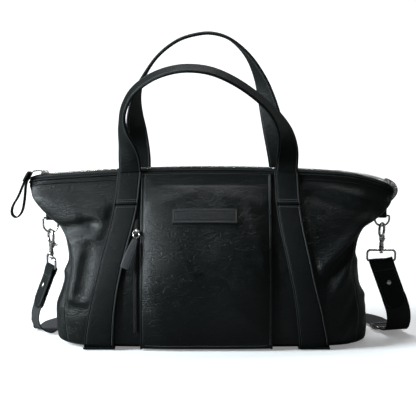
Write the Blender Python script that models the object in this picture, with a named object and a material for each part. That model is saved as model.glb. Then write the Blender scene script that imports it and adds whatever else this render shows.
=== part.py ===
"""Soft leather diaper bag with two carrying handles, a zipped mouth, a zipped front pocket
and a clip-on shoulder strap. Metres, +Z up, front of the bag towards -Y. The shapes are
drawn with the bag's own middle at x = y = 0, then moved so that the origin is on the floor under the
middle of the whole object's footprint."""

import math

import bmesh
import bpy
from mathutils import Matrix, Vector

# ---- Driving dimensions ----
FOOTPRINT_MIDDLE = (0.0008, 0.0253)  # of the whole object, strap included: the row's origin is moved here
TOP = 0.271            # height of the closed mouth in the middle
LEATHER = 0.0025       # thickness of the shell leather
STRAP = 0.003          # thickness of the carrying straps
GAP = 0.0004           # air left between neighbouring pieces
STRAP_GAP = 0.0009     # air under the straps sewn on the shell
WALL_FOOT = 0.0064     # where the shell walls start, above the base panel
WALL_HEAD = 0.2615     # where they stop and the zip facing starts
ROWS = [WALL_FOOT, 0.02, 0.045, 0.075, 0.105, 0.135, 0.16, 0.18, 0.2, 0.2168, 0.232, 0.248, WALL_HEAD]
CORNER = 4.5           # exponent of the rounded-rectangle plan section
TRACK_RADIUS = 3.0     # the mouth's zip follows an arc of this radius
SEAM_HEIGHT = 0.2168   # where the handles are stitched over the straps

# Half width and half depth of the shell at each height: (height, value)
HALF_WIDTH = [(0.0, 0.234), (0.012, 0.240), (0.055, 0.244), (0.09, 0.239), (0.13, 0.233),
              (0.165, 0.235), (0.187, 0.242), (0.203, 0.258), (0.22, 0.272), (0.24, 0.281),
              (0.256, 0.2835), (0.271, 0.284)]
HALF_DEPTH = [(0.0, 0.088), (0.012, 0.094), (0.05, 0.097), (0.09, 0.095), (0.12, 0.089),
              (0.15, 0.078), (0.18, 0.063), (0.21, 0.045), (0.235, 0.029), (0.255, 0.017),
              (0.271, 0.011)]
GUSSET_FOLD = [(0.0, 0.0), (0.05, 0.003), (0.11, 0.010), (0.16, 0.014), (0.21, 0.0145), (0.235, 0.006), (0.256, 0.0),
               (0.271, 0.0)]
SEAM_ANGLE = [(0.0, 32.0), (0.12, 32.0), (0.17, 27.0), (0.21, 18.0), (0.245, 9.0), (0.271, 5.0)]

# Carrying straps: middle line (height, x) and width at the seam and at the floor
STRAP_LINES = {"left": [(0.0, -0.170), (0.05, -0.1665), (0.13, -0.1525), (0.217, -0.1315), (0.27, -0.1265)],
               "right": [(0.0, 0.158), (0.05, 0.1515), (0.13, 0.1330), (0.217, 0.1170), (0.27, 0.1150)]}
STRAP_TOP_WIDTH = 0.0360
STRAP_FOOT_WIDTH = 0.0450

# Front pocket and label
POCKET_X = (-0.1095, 0.0925)
POCKET_H = (0.0030, 0.2420)
POCKET_BULGE = 0.013
LABEL_X = (-0.0600, 0.0390)
LABEL_H = (0.1850, 0.2060)
POCKET_ZIP_X = -0.1143
POCKET_ZIP_H = (0.030, 0.196)
POCKET_SLIDER_H = 0.176

# Handles: middle line points (x, y, z) from the left foot to the right foot
FRONT_HANDLE = [(-0.1262, -0.0165, 0.2640), (-0.1268, -0.0185, 0.2800), (-0.1290, -0.0255, 0.3030),
                (-0.1345, -0.0400, 0.3330), (-0.1330, -0.0560, 0.3620), (-0.1185, -0.0730, 0.3900),
                (-0.0930, -0.0870, 0.4110), (-0.0640, -0.0950, 0.4230), (-0.0340, -0.0980, 0.4270),
                (-0.0010, -0.0960, 0.4225), (0.0320, -0.0890, 0.4080), (0.0640, -0.0780, 0.3860),
                (0.0910, -0.0630, 0.3600), (0.1085, -0.0470, 0.3310), (0.1155, -0.0320, 0.3030),
                (0.1160, -0.0200, 0.2800), (0.1152, -0.0165, 0.2640)]
REAR_HANDLE = [(-0.1130, 0.0165, 0.2660), (-0.1135, 0.0190, 0.2850), (-0.1170, 0.0235, 0.3150),
               (-0.1200, 0.0290, 0.3480), (-0.1170, 0.0350, 0.3800), (-0.1060, 0.0400, 0.4090),
               (-0.0840, 0.0450, 0.4400), (-0.0540, 0.0485, 0.4630), (-0.0230, 0.0500, 0.4730),
               (0.0040, 0.0500, 0.4740), (0.0310, 0.0480, 0.4640), (0.0570, 0.0440, 0.4390),
               (0.0760, 0.0385, 0.4040), (0.0880, 0.0325, 0.3650), (0.0970, 0.0260, 0.3250),
               (0.1040, 0.0195, 0.2890), (0.1075, 0.0165, 0.2662)]
HANDLE_WIDTH = 0.0350
HANDLE_THICKNESS = 0.0050

# Shoulder strap hardware
# x and height of each D-ring's straight bar, and how far below it its curved side is centred
RING_AT = {"left": (-0.2525, 0.1890, 0.0110), "right": (0.2665, 0.1925, 0.0045)}
RING_RADIUS = 0.0115
RING_WIRE = 0.0016
EYE_DROP = 0.0064      # the eye's centre, below the D-ring's lowest wire
EYE_RADIUS = 0.0105
EYE_WIRE = 0.0014
HOOK_TURN = {"left": 118.0, "right": 62.0}   # the eye's plane, about the vertical, from +X
LOOP_HALF_WIDTH = 0.0220
LOOP_HEIGHT = 0.0175
LOOP_WIRE = 0.0017
WEB_WIDTH = 0.0380
WEB_THICKNESS = 0.0022
TAB_WIDTH = 0.0370

# The strap's middle line and its width direction, from the left loop round the back to the right loop
LEFT_TAB = [((-0.2525, 0.0000, 0.1066), (-0.40, 0.92, 0.0)), ((-0.2590, 0.0000, 0.0920), (-0.40, 0.92, 0.0)),
            ((-0.2690, 0.0010, 0.0720), (-0.40, 0.92, 0.0)), ((-0.2765, 0.0030, 0.0490), (-0.40, 0.92, 0.0))]
WEBBING = [((-0.2768, 0.0031, 0.0470), (-0.40, 0.92, 0.0)), ((-0.2800, 0.0045, 0.0310), (-0.40, 0.92, 0.0)),
           ((-0.2780, 0.0090, 0.0160), (-0.46, 0.89, 0.0)), ((-0.2705, 0.0200, 0.0050), (-0.62, 0.78, 0.0)),
           ((-0.2640, 0.0440, 0.0014), (-0.93, 0.36, 0.0)), ((-0.2540, 0.0850, 0.0014), (-0.85, 0.52, 0.0)),
           ((-0.2150, 0.1220, 0.0014), (-0.50, 0.87, 0.0)), ((-0.1500, 0.1400, 0.0014), (-0.12, 0.99, 0.0)),
           ((-0.0600, 0.1460, 0.0014), (0.00, 1.00, 0.0)), ((0.0400, 0.1470, 0.0016), (0.05, 0.99, 0.0)),
           ((0.1300, 0.1440, 0.0022), (0.20, 0.98, 0.0)), ((0.2050, 0.1340, 0.0034), (0.48, 0.88, 0.0)),
           ((0.2460, 0.1130, 0.0048), (0.82, 0.57, 0.0)), ((0.2640, 0.0904, 0.0054), (0.94, 0.33, 0.0)),
           ((0.2720, 0.0676, 0.0054), (0.94, 0.33, 0.0)), ((0.2800, 0.0448, 0.0054), (0.94, 0.33, 0.0)),
           ((0.2880, 0.0220, 0.0056), (0.94, 0.33, 0.0)), ((0.2935, 0.0085, 0.0095), (0.98, 0.20, 0.0)),
           ((0.2965, 0.0020, 0.0240), (1.00, 0.06, 0.0)), ((0.2944, 0.0000, 0.0425), (1.00, 0.00, 0.18))]
RIGHT_TAB = [((0.2665, 0.0000, 0.1171), (1.00, 0.00, 0.00)), ((0.2720, 0.0000, 0.0980), (1.00, 0.00, 0.28)),
             ((0.2840, 0.0000, 0.0740), (1.00, 0.00, 0.36)), ((0.2939, 0.0000, 0.0490), (1.00, 0.00, 0.22))]
ADJUSTER_AT = (0.2818, 0.0396, 0.0054)
ADJUSTER_ALONG = (-0.3310, 0.9436, 0.0)

COLOURS = {  # slot: (red, green, blue, metallic, roughness)
    "shell_leather": (0.012, 0.014, 0.015, 0.0, 0.42), "strap_leather": (0.016, 0.019, 0.020, 0.0, 0.48),
    "trim_leather": (0.030, 0.032, 0.036, 0.0, 0.55), "lining_fabric": (0.20, 0.20, 0.21, 0.0, 0.9),
    "webbing": (0.010, 0.010, 0.012, 0.0, 0.85), "zip_tape": (0.008, 0.008, 0.009, 0.0, 0.9),
    "nickel": (0.72, 0.68, 0.66, 1.0, 0.22), "board": (0.05, 0.05, 0.05, 0.0, 0.7)}


def clear_scene():
    for obj in list(bpy.data.objects):
        bpy.data.objects.remove(obj)


def new_collection(name):
    collection = bpy.data.collections.new(name)
    bpy.context.scene.collection.children.link(collection)
    return collection


def material(slot):
    found = bpy.data.materials.get(slot)
    if found:
        return found
    red, green, blue, metallic, roughness = COLOURS[slot]
    found = bpy.data.materials.new(slot)
    found.use_nodes = True
    shader = found.node_tree.nodes["Principled BSDF"]
    shader.inputs["Base Color"].default_value = (red, green, blue, 1.0)
    shader.inputs["Metallic"].default_value = metallic
    shader.inputs["Roughness"].default_value = roughness
    return found


# ---- Interpolation ----
def curve_through(points, t):
    """A smooth (Catmull-Rom) value at t of 0 to 1 along equally spaced points."""
    last = len(points) - 1
    i = min(int(t * last), last - 1)
    u = t * last - i
    before, a, b, after = (Vector(points[max(0, min(last, i + k))]) for k in (-1, 0, 1, 2))
    return 0.5 * (2 * a + (b - before) * u + (2 * before - 5 * a + 4 * b - after) * u * u
                  + (3 * a - 3 * b + after - before) * u ** 3)


def at_height(table, h):
    """The value of a (height, value) table at h, smooth between its entries."""
    h = min(max(h, table[0][0]), table[-1][0])
    i = max(k for k in range(len(table) - 1) if table[k][0] <= h)
    (h0, v0), (h1, v1) = table[i], table[i + 1]

    def slope(k):
        if k == 0 or k == len(table) - 1:
            return 0.0 if k == 0 else (table[k][1] - table[k - 1][1]) / (table[k][0] - table[k - 1][0])
        left = (table[k][1] - table[k - 1][1]) / (table[k][0] - table[k - 1][0])
        right = (table[k + 1][1] - table[k][1]) / (table[k + 1][0] - table[k][0])
        return 0.0 if left * right <= 0 else 2 * left * right / (left + right)

    u, span = (h - h0) / (h1 - h0), h1 - h0
    return (v0 * (1 + 2 * u) * (1 - u) ** 2 + slope(i) * span * u * (1 - u) ** 2
            + v1 * u * u * (3 - 2 * u) + slope(i + 1) * span * u * u * (u - 1))


def steps(low, high, count):
    return [low + (high - low) * k / (count - 1) for k in range(count)]


# ---- The shell's shape ----
def top_edge(x):
    """Height of the closed mouth at x: a shallow arc that drops towards the wing tips."""
    z = TOP - TRACK_RADIUS + math.sqrt(TRACK_RADIUS ** 2 - x * x)
    z -= 1.6 * max(0.0, x - 0.185) ** 2 if x > 0 else 7.0 * max(0.0, -x - 0.262) ** 2
    return z


def wall_point(angle, h, inset=0.0, fold=1.0):
    """A point of the shell at a plan angle in degrees (0 is the right end, -90 the front)."""
    a, b = at_height(HALF_WIDTH, h) - inset, at_height(HALF_DEPTH, h) - inset
    c, s = math.cos(math.radians(angle)), math.sin(math.radians(angle))
    x = a * math.copysign(abs(c) ** (2 / CORNER), c)
    y = b * math.copysign(abs(s) ** (2 / CORNER), s)
    z = h * top_edge(x) / TOP
    from_end = abs((angle + 90) % 180 - 90) / at_height(SEAM_ANGLE, h)
    x -= math.copysign(fold * at_height(GUSSET_FOLD, h) * max(0.0, 1 - from_end ** 2), x)
    return Vector((x, y, z))


def front_point(x, h, out=0.0):
    """The point of the front wall at x and height h, moved out of the bag by out."""
    a, b = at_height(HALF_WIDTH, h), at_height(HALF_DEPTH, h)
    y = -b * (1 - min(abs(x) / a, 1.0) ** CORNER) ** (1 / CORNER)
    lean = (at_height(HALF_DEPTH, min(h + 0.004, TOP)) - at_height(HALF_DEPTH, max(h - 0.004, 0.0))) / 0.008
    normal = Vector((0.0, -1.0, -lean)).normalized()
    return Vector((x, y, h * top_edge(x) / TOP)) + normal * out


def seam_angle(h):
    return at_height(SEAM_ANGLE, h)


# ---- Solids ----
def finish_mesh(name, mesh_data, slot, collection, smooth=True):
    bmesh.ops.recalc_face_normals(mesh_data, faces=mesh_data.faces)
    mesh = bpy.data.meshes.new(name)
    mesh_data.to_mesh(mesh)
    mesh_data.free()
    mesh.materials.append(material(slot))
    if smooth:
        mesh.shade_smooth()
        mesh.set_sharp_from_angle(angle=math.radians(35))
    obj = bpy.data.objects.new(name, mesh)
    collection.objects.link(obj)
    return obj


def slab(name, outer, inner, slot, collection, closed_rows=False):
    """A closed sheet between two grids of points, each a list of rows; closed_rows joins each row's ends."""
    made = bmesh.new()
    rows, columns = len(outer), len(outer[0])
    top = [[made.verts.new(p) for p in row] for row in outer]
    under = [[made.verts.new(p) for p in row] for row in inner]
    spans = range(columns if closed_rows else columns - 1)
    for r in range(rows - 1):
        for c in spans:
            d = (c + 1) % columns
            made.faces.new((top[r][c], top[r][d], top[r + 1][d], top[r + 1][c]))
            made.faces.new((under[r + 1][c], under[r + 1][d], under[r][d], under[r][c]))
    for r in (0, rows - 1):
        for c in spans:
            d = (c + 1) % columns
            made.faces.new((top[r][c], under[r][c], under[r][d], top[r][d]))
    if not closed_rows:
        for c in (0, columns - 1):
            for r in range(rows - 1):
                made.faces.new((top[r][c], top[r + 1][c], under[r + 1][c], under[r][c]))
    return finish_mesh(name, made, slot, collection)


def shell_sheet(name, angles, heights, insets, slot, collection):
    """A sheet of the shell: angles is a function of (share, height), insets the outer and inner depth."""
    shares = steps(0.0, 1.0, angles[1])
    outer = [[wall_point(angles[0](u, h), h, insets[0]) for u in shares] for h in heights]
    inner = [[wall_point(angles[0](u, h), h, insets[1]) for u in shares] for h in heights]
    return slab(name, outer, inner, slot, collection)


def prism(name, outline, low, high, slot, collection, axis="Z", holes=()):
    """A flat outline (and holes in it), filled and given a thickness from low to high along an axis."""
    curve = bpy.data.curves.new(name, "CURVE")
    curve.dimensions = "2D"
    curve.fill_mode = "BOTH"
    curve.extrude = (high - low) / 2
    for loop in (outline, *holes):
        spline = curve.splines.new("POLY")
        spline.points.add(len(loop) - 1)
        for point, (u, v) in zip(spline.points, loop):
            point.co = (u, v, 0.0, 1.0)
        spline.use_cyclic_u = True
    drawn = bpy.data.objects.new(name + "_outline", curve)
    bpy.context.scene.collection.objects.link(drawn)
    bpy.context.view_layer.update()
    mesh = bpy.data.meshes.new_from_object(drawn.evaluated_get(bpy.context.evaluated_depsgraph_get()))
    bpy.data.objects.remove(drawn)
    made = bmesh.new()
    made.from_mesh(mesh)
    bmesh.ops.remove_doubles(made, verts=made.verts, dist=1e-6)
    bmesh.ops.translate(made, verts=made.verts, vec=(0.0, 0.0, (low + high) / 2))
    turn = {"Z": Matrix.Identity(3), "Y": Matrix(((1, 0, 0), (0, 0, 1), (0, 1, 0))),
            "X": Matrix(((0, 0, 1), (1, 0, 0), (0, 1, 0)))}[axis]
    bmesh.ops.transform(made, verts=made.verts, matrix=turn.to_4x4())
    return finish_mesh(name, made, slot, collection)


def circle(cx, cy, radius, count=16, start=0.0, stop=360.0):
    """Points of an arc, or of a whole circle without its repeated end."""
    whole = abs(stop - start) >= 360
    angles = [start + (stop - start) * k / (count if whole else count - 1) for k in range(count)]
    return [(cx + radius * math.cos(math.radians(d)), cy + radius * math.sin(math.radians(d))) for d in angles]


def wire(name, points, radius, slot, collection, cyclic=False, sides=2):
    """A round wire along points, made a mesh with its caps welded."""
    curve = bpy.data.curves.new(name, "CURVE")
    curve.dimensions = "3D"
    curve.bevel_depth = radius
    curve.bevel_resolution = sides
    curve.use_fill_caps = not cyclic
    spline = curve.splines.new("POLY")
    spline.points.add(len(points) - 1)
    for point, place in zip(spline.points, points):
        point.co = (*place, 1.0)
    spline.use_cyclic_u = cyclic
    drawn = bpy.data.objects.new(name + "_line", curve)
    bpy.context.scene.collection.objects.link(drawn)
    bpy.context.view_layer.update()
    mesh = bpy.data.meshes.new_from_object(drawn.evaluated_get(bpy.context.evaluated_depsgraph_get()))
    bpy.data.objects.remove(drawn)
    made = bmesh.new()
    made.from_mesh(mesh)
    bmesh.ops.remove_doubles(made, verts=made.verts, dist=1e-6)
    return finish_mesh(name, made, slot, collection)


def cylinder(name, start, end, radius, slot, collection, segments=14):
    made = bmesh.new()
    along = Vector(end) - Vector(start)
    bmesh.ops.create_cone(made, cap_ends=True, segments=segments, radius1=radius, radius2=radius,
                          depth=along.length)
    place = Matrix.Translation((Vector(start) + Vector(end)) / 2) @ along.to_track_quat("Z", "Y").to_matrix().to_4x4()
    bmesh.ops.transform(made, verts=made.verts, matrix=place)
    return finish_mesh(name, made, slot, collection)


def box(name, low, high, slot, collection, bevel=0.0):
    made = bmesh.new()
    bmesh.ops.create_cube(made, size=1.0)
    size = Vector(high) - Vector(low)
    bmesh.ops.scale(made, verts=made.verts, vec=size)
    bmesh.ops.translate(made, verts=made.verts, vec=(Vector(low) + Vector(high)) / 2)
    if bevel:
        bmesh.ops.bevel(made, geom=made.edges[:], offset=bevel, segments=1, affect="EDGES")
    return finish_mesh(name, made, slot, collection)


def combine(obj, other, operation, tools):
    """Joins other to obj, or cuts it out of obj, with an exact Boolean."""
    for owner in list(other.users_collection):
        owner.objects.unlink(other)
    tools.objects.link(other)
    other.hide_render = True
    other.display_type = "WIRE"
    step = obj.modifiers.new(operation.title(), "BOOLEAN")
    step.operation = operation
    step.object = other
    return obj


def turned(obj, degrees, pivot):
    """Turns a mesh about the vertical line through pivot."""
    pivot = Vector(pivot)
    move = Matrix.Translation(pivot) @ Matrix.Rotation(math.radians(degrees), 4, "Z") @ Matrix.Translation(-pivot)
    obj.data.transform(move)
    return obj


# ---- Bag shell ----
def make_shell(bag):
    edge = 0.25  # degrees of air at each seam
    middle = (lambda u, h: -180 + seam_angle(h) + edge + u * (180 - 2 * seam_angle(h) - 2 * edge), 15)
    shell_sheet("front_panel", middle, ROWS, (0.0, LEATHER), "shell_leather", bag)
    back = (lambda u, h: seam_angle(h) + edge + u * (180 - 2 * seam_angle(h) - 2 * edge), 15)
    shell_sheet("rear_panel", back, ROWS, (0.0, LEATHER), "shell_leather", bag)
    for side, turn in (("right", 0.0), ("left", 180.0)):
        end = (lambda u, h, t=turn: t - seam_angle(h) + edge + u * (2 * seam_angle(h) - 2 * edge), 9)
        shell_sheet(side + "_gusset", end, ROWS, (0.0, LEATHER), "shell_leather", bag)
    outline = [(wall_point(d, 0.003, 0.0015).x, wall_point(d, 0.003, 0.0015).y) for d in steps(0, 354, 60)]
    prism("base_panel", outline, STRAP + GAP, WALL_FOOT - GAP, "shell_leather", bag)
    inner = [(wall_point(d, 0.008, 0.0045).x, wall_point(d, 0.008, 0.0045).y) for d in steps(0, 350, 36)]
    prism("base_board", inner, WALL_FOOT, WALL_FOOT + 0.002, "board", bag)


def make_lining(bag):
    """The inner bag: one open-topped fabric shell, its slip pocket and its two bottle pockets."""
    out, into, floor = LEATHER + 0.0048, LEATHER + 0.0058, WALL_FOOT + 0.0024
    quarter = [0, 7, 14, 21, 30, 42, 56, 72]
    angles = quarter + [180 - d for d in (90, *quarter[:0:-1])]
    angles += [180 + d for d in angles]
    heights = [floor, 0.03, 0.075, 0.12, 0.16, 0.18, 0.2, 0.232, 0.2595]

    def level(inset, z):
        ring = [wall_point(d, floor, inset, 1.4) for d in angles]
        return [Vector((p.x, p.y, z)) for p in ring]

    places = [level(out, floor)] + [[wall_point(d, h, out, 1.4) for d in angles] for h in heights[1:]]
    places += [[wall_point(d, h, into, 1.4) for d in angles] for h in reversed(heights[1:])]
    places += [level(into, floor + 0.001)]
    made = bmesh.new()
    rings = [[made.verts.new(p) for p in ring] for ring in places]
    for low, high in zip(rings, rings[1:]):
        for c in range(len(angles)):
            d = (c + 1) % len(angles)
            made.faces.new((low[c], low[d], high[d], high[c]))
    made.faces.new(rings[0][::-1])
    made.faces.new(rings[-1])
    finish_mesh("lining", made, "lining_fabric", bag)

    def pouch(name, centre, half_angle, low, high, depth, slot):
        shares = steps(-1.0, 1.0, 9)
        rows = steps(low, high, 4)

        def inset(u):
            return into + 0.0026 + depth * (1 - u * u)

        outer = [[wall_point(centre + u * half_angle, h, inset(u), 1.4) for u in shares] for h in rows]
        inner = [[wall_point(centre + u * half_angle, h, inset(u) + 0.001, 1.4) for u in shares] for h in rows]
        slab(name, outer, inner, slot, bag)

    pouch("inner_slip_pocket", 90, 47, 0.024, 0.150, 0.010, "lining_fabric")
    pouch("bottle_pocket_left", 180, 22, 0.024, 0.125, 0.040, "lining_fabric")
    pouch("bottle_pocket_right", 0, 22, 0.024, 0.125, 0.040, "lining_fabric")


# ---- The mouth: facing, zip, end tabs ----
def along_mouth(name, low_x, high_x, section, count, slot, bag, lift=0.0):
    """A bar along the mouth: section gives its (y, dz) corners at x, in order round the bar."""
    made = bmesh.new()
    rings = []
    for x in steps(low_x, high_x, count):
        z = top_edge(x) + lift
        rings.append([made.verts.new((x, y, z + dz)) for y, dz in section(x)])
    sides = len(rings[0])
    for a, b in zip(rings, rings[1:]):
        for c in range(sides):
            d = (c + 1) % sides
            made.faces.new((a[c], a[d], b[d], b[c]))
    made.faces.new(rings[0][::-1])
    made.faces.new(rings[-1])
    return finish_mesh(name, made, slot, bag)


def mouth_depth(x, inset):
    a, b = at_height(HALF_WIDTH, TOP) - inset, at_height(HALF_DEPTH, TOP) - inset
    return b * (1 - min(abs(x) / a, 1.0) ** CORNER) ** (1 / CORNER)


def make_mouth(bag):
    facing = [WALL_HEAD + 0.0005, 0.2665, TOP]
    for name, start in (("zip_facing_front", -180.0), ("zip_facing_rear", 0.0)):
        ends = (lambda u, h, s=start: s + 5 + u * 170, 25)
        shell_sheet(name, ends, facing, (0.0, 0.0028), "strap_leather", bag)
    for name, side in (("zip_tape_front", -1), ("zip_tape_rear", 1)):
        def section(x, side=side):
            far = mouth_depth(x, 0.0028) - GAP
            return [(side * 0.0034, -0.0034), (side * far, -0.0034), (side * far, -0.0024), (side * 0.0034, -0.0024)]
        along_mouth(name, -0.262, 0.258, section, 27, "zip_tape", bag)
    teeth = lambda x: [(-0.0029, -0.0044), (0.0029, -0.0044), (0.0029, -0.0010), (-0.0029, -0.0010)]
    along_mouth("zip_teeth", -0.2685, 0.2705, teeth, 28, "nickel", bag)


def make_zip_return(bag):
    """The zip's closed end, which turns down over the right wing tip."""
    path = [(0.2885, 0.2445), (0.2895, 0.2380), (0.2880, 0.2290), (0.2845, 0.2210)]
    points = [curve_through([(x, 0.0, z) for x, z in path], t) for t in steps(0, 1, 9)]
    sheet_along("zip_end_right", points, [Vector((0, 1, 0))] * 9, [0.0150] * 9, 0.0022, "strap_leather", bag)


# ---- Strips that follow a path ----
def sheet_along(name, points, across, widths, thickness, slot, collection):
    """A flat strip along points: across gives its width direction at each point."""
    outer, inner = [], []
    last = len(points) - 1
    for k, point in enumerate(points):
        tangent = (points[min(k + 1, last)] - points[max(k - 1, 0)]).normalized()
        side = across[k] - tangent * across[k].dot(tangent)
        side = side.normalized() * widths[k] / 2
        normal = tangent.cross(side).normalized() * thickness / 2
        outer.append([point + normal + side * u for u in (-1.0, 0.0, 1.0)])
        inner.append([point - normal + side * u for u in (-1.0, 0.0, 1.0)])
    return slab(name, outer, inner, slot, collection)


def strap_width(h):
    return STRAP_FOOT_WIDTH + (STRAP_TOP_WIDTH - STRAP_FOOT_WIDTH) * min(1.0, h / 0.10)


def make_straps(bag):
    """Two carrying straps sewn down the front, under the base and up the back, each in its stretches."""
    for side, line in STRAP_LINES.items():
        for face, facing in (("front", 1), ("rear", -1)):
            def grid(heights, out, line=line, facing=facing):
                rows = []
                for h in heights:
                    middle, half = at_height(line, h), strap_width(h) / 2
                    row = [front_point(middle + half * u, h, out) for u in (-1.0, 0.0, 1.0)]
                    rows.append([Vector((p.x, p.y * facing, p.z)) for p in row])
                return rows

            low = [0.0055, *ROWS[1:9], SEAM_HEIGHT - 2 * GAP]
            high = [*ROWS[9:12], WALL_HEAD]
            slab(f"{face}_strap_{side}", grid(low, STRAP_GAP + STRAP), grid(low, STRAP_GAP), "strap_leather", bag)
            slab(f"{face}_handle_foot_{side}", grid(high, STRAP_GAP + STRAP + 0.0008), grid(high, STRAP_GAP),
                 "strap_leather", bag)
        middle, half = at_height(line, 0.0), STRAP_FOOT_WIDTH / 2
        box(f"base_strap_{side}", (middle - half, -0.0890, 0.0), (middle + half, 0.0890, STRAP),
            "strap_leather", bag, bevel=0.0008)


def handle_sheet(name, path, facing, tilt, twist, bag):
    """A carrying handle: flat against the bag at its feet, turning until its face looks outwards and up."""
    count = 27
    points = [curve_through(path, t) for t in steps(0, 1, count)]
    across = []
    for k, t in enumerate(steps(0, 1, count)):
        tangent = (points[min(k + 1, count - 1)] - points[max(k - 1, 0)]).normalized()
        flat = Vector((0, facing, 0))
        radial = Vector((-tangent.z, 0, tangent.x))
        near = t / twist[0] if t < 0.5 else (1 - t) / twist[1]
        share = min(1.0, max(0.0, near))
        share = tilt * share * share * (3 - 2 * share)
        normal = (flat * (1 - share) + radial * share).normalized()
        across.append(tangent.cross(normal))
    return sheet_along(name, points, across, [HANDLE_WIDTH] * count, HANDLE_THICKNESS, "strap_leather", bag)


def make_handles(bag):
    handle_sheet("front_handle", FRONT_HANDLE, -1, 0.80, (0.24, 0.30), bag)
    handle_sheet("rear_handle", REAR_HANDLE, 1, 1.0, (0.36, 0.42), bag)


# ---- Front pocket, its zip and the label ----
def make_front_pocket(bag):
    xs = steps(POCKET_X[0], POCKET_X[1], 11)
    heights = [POCKET_H[0], 0.012, 0.035, 0.065, 0.095, 0.125, 0.15, 0.175, 0.2, 0.222, POCKET_H[1]]

    def bulge(x, h):
        u = 2 * (x - POCKET_X[0]) / (POCKET_X[1] - POCKET_X[0]) - 1
        v = (h - POCKET_H[0]) / (POCKET_H[1] - POCKET_H[0])
        return POCKET_BULGE * (1 - u ** 4) * math.sin(math.pi * min(max(v, 0.0), 1.0)) ** 0.6

    def grid(out):
        return [[front_point(x, h, out + bulge(x, h)) for x in xs] for h in heights]

    slab("front_pocket_panel", grid(GAP + LEATHER), grid(GAP), "shell_leather", bag)

    def patch(out):
        return [[front_point(x, h, out + bulge(x, h)) for x in steps(*LABEL_X, 7)] for h in steps(*LABEL_H, 4)]

    slab("label_patch", patch(2 * GAP + LEATHER + 0.0022), patch(2 * GAP + LEATHER), "trim_leather", bag)


def circle_through(a, b, c):
    """Centre (u, v) and radius of the circle through three points."""
    (ax, ay), (bx, by), (cx, cy) = a, b, c
    d = 2 * (ax * (by - cy) + bx * (cy - ay) + cx * (ay - by))
    u = ((ax ** 2 + ay ** 2) * (by - cy) + (bx ** 2 + by ** 2) * (cy - ay) + (cx ** 2 + cy ** 2) * (ay - by)) / d
    v = ((ax ** 2 + ay ** 2) * (cx - bx) + (bx ** 2 + by ** 2) * (ax - cx) + (cx ** 2 + cy ** 2) * (bx - ax)) / d
    return (u, v), math.hypot(ax - u, ay - v)


def pocket_track():
    """The arc, in the (y, z) plane, that the pocket's zip teeth follow just clear of the front wall."""
    picks = [front_point(POCKET_ZIP_X, h, 0.0042) for h in (POCKET_ZIP_H[0] + 0.02, 0.118, POCKET_ZIP_H[1] - 0.02)]
    centre, radius = circle_through(*[(p.y, p.z) for p in picks])
    angles = []
    for h in POCKET_ZIP_H:
        p = front_point(POCKET_ZIP_X, h, 0.0035)
        angles.append(math.degrees(math.atan2(p.z - centre[1], p.y - centre[0])) % 360)
    return centre, radius, angles


def make_pocket_zip(bag, tools):
    centre, radius, (foot, head) = pocket_track()

    def arc_bar(name, half_width, low, high, slot, count=15):
        outer, inner = [], []
        for d in steps(foot, head, count):
            ray = Vector((0, math.cos(math.radians(d)), math.sin(math.radians(d))))
            origin = Vector((POCKET_ZIP_X, centre[0], centre[1]))
            outer.append([origin + ray * (radius + high) + Vector((s * half_width, 0, 0)) for s in (-1, 1)])
            inner.append([origin + ray * (radius + low) + Vector((s * half_width, 0, 0)) for s in (-1, 1)])
        slab(name, outer, inner, slot, bag)

    arc_bar("pocket_zip_tape", 0.0030, -0.0008, 0.0, "zip_tape")
    arc_bar("pocket_zip_teeth", 0.0016, 0.0003, 0.0016, "zip_tape")
    slider = front_point(POCKET_ZIP_X, POCKET_SLIDER_H, 0.0035)
    at = math.degrees(math.atan2(slider.z - centre[1], slider.y - centre[0]))
    ray = Vector((0, math.cos(math.radians(at)), math.sin(math.radians(at))))
    origin = Vector((POCKET_ZIP_X, centre[0], centre[1]))
    frame = Matrix.Translation(origin + ray * (radius + 0.0032)) @ ray.to_track_quat("Z", "Y").to_matrix().to_4x4()
    body = box("pocket_slider", (-0.0032, -0.0048, -0.0010), (0.0032, 0.0048, 0.0006), "nickel", bag, bevel=0.0005)
    body.data.transform(frame)
    bridge = box("pocket_slider_bridge", (-0.0008, -0.0018, 0.0002), (0.0008, 0.0046, 0.0050), "nickel", bag)
    hole = cylinder("pocket_slider_hole", (-0.004, 0.0016, 0.0028), (0.004, 0.0016, 0.0028), 0.0015, "nickel", bag)
    bridge.data.transform(frame)
    hole.data.transform(frame)
    combine(body, bridge, "UNION", tools)
    combine(body, hole, "DIFFERENCE", tools)
    hoop = [front_point(POCKET_ZIP_X + u, POCKET_SLIDER_H - 0.0045 + v, 0.0100)
            for u, v in circle(0, 0, 0.0062, 12)]
    wire("pocket_pull_ring", hoop, 0.0008, "nickel", bag, cyclic=True, sides=1)
    route = [(-0.1152, 0.1645), (-0.1190, 0.1500), (-0.1245, 0.1360), (-0.1290, 0.1250)]
    path = [front_point(x, h, 0.0100) for x, h in route]
    across = [Vector((0.94, 0.0, -0.3))] * 4
    sheet_along("pocket_pull_tab", path, across, [0.0075, 0.0086, 0.0092, 0.0092], 0.0028, "trim_leather", bag)
    return centre, front_point(POCKET_ZIP_X, POCKET_SLIDER_H + 0.0017, 0.0100)


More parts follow.
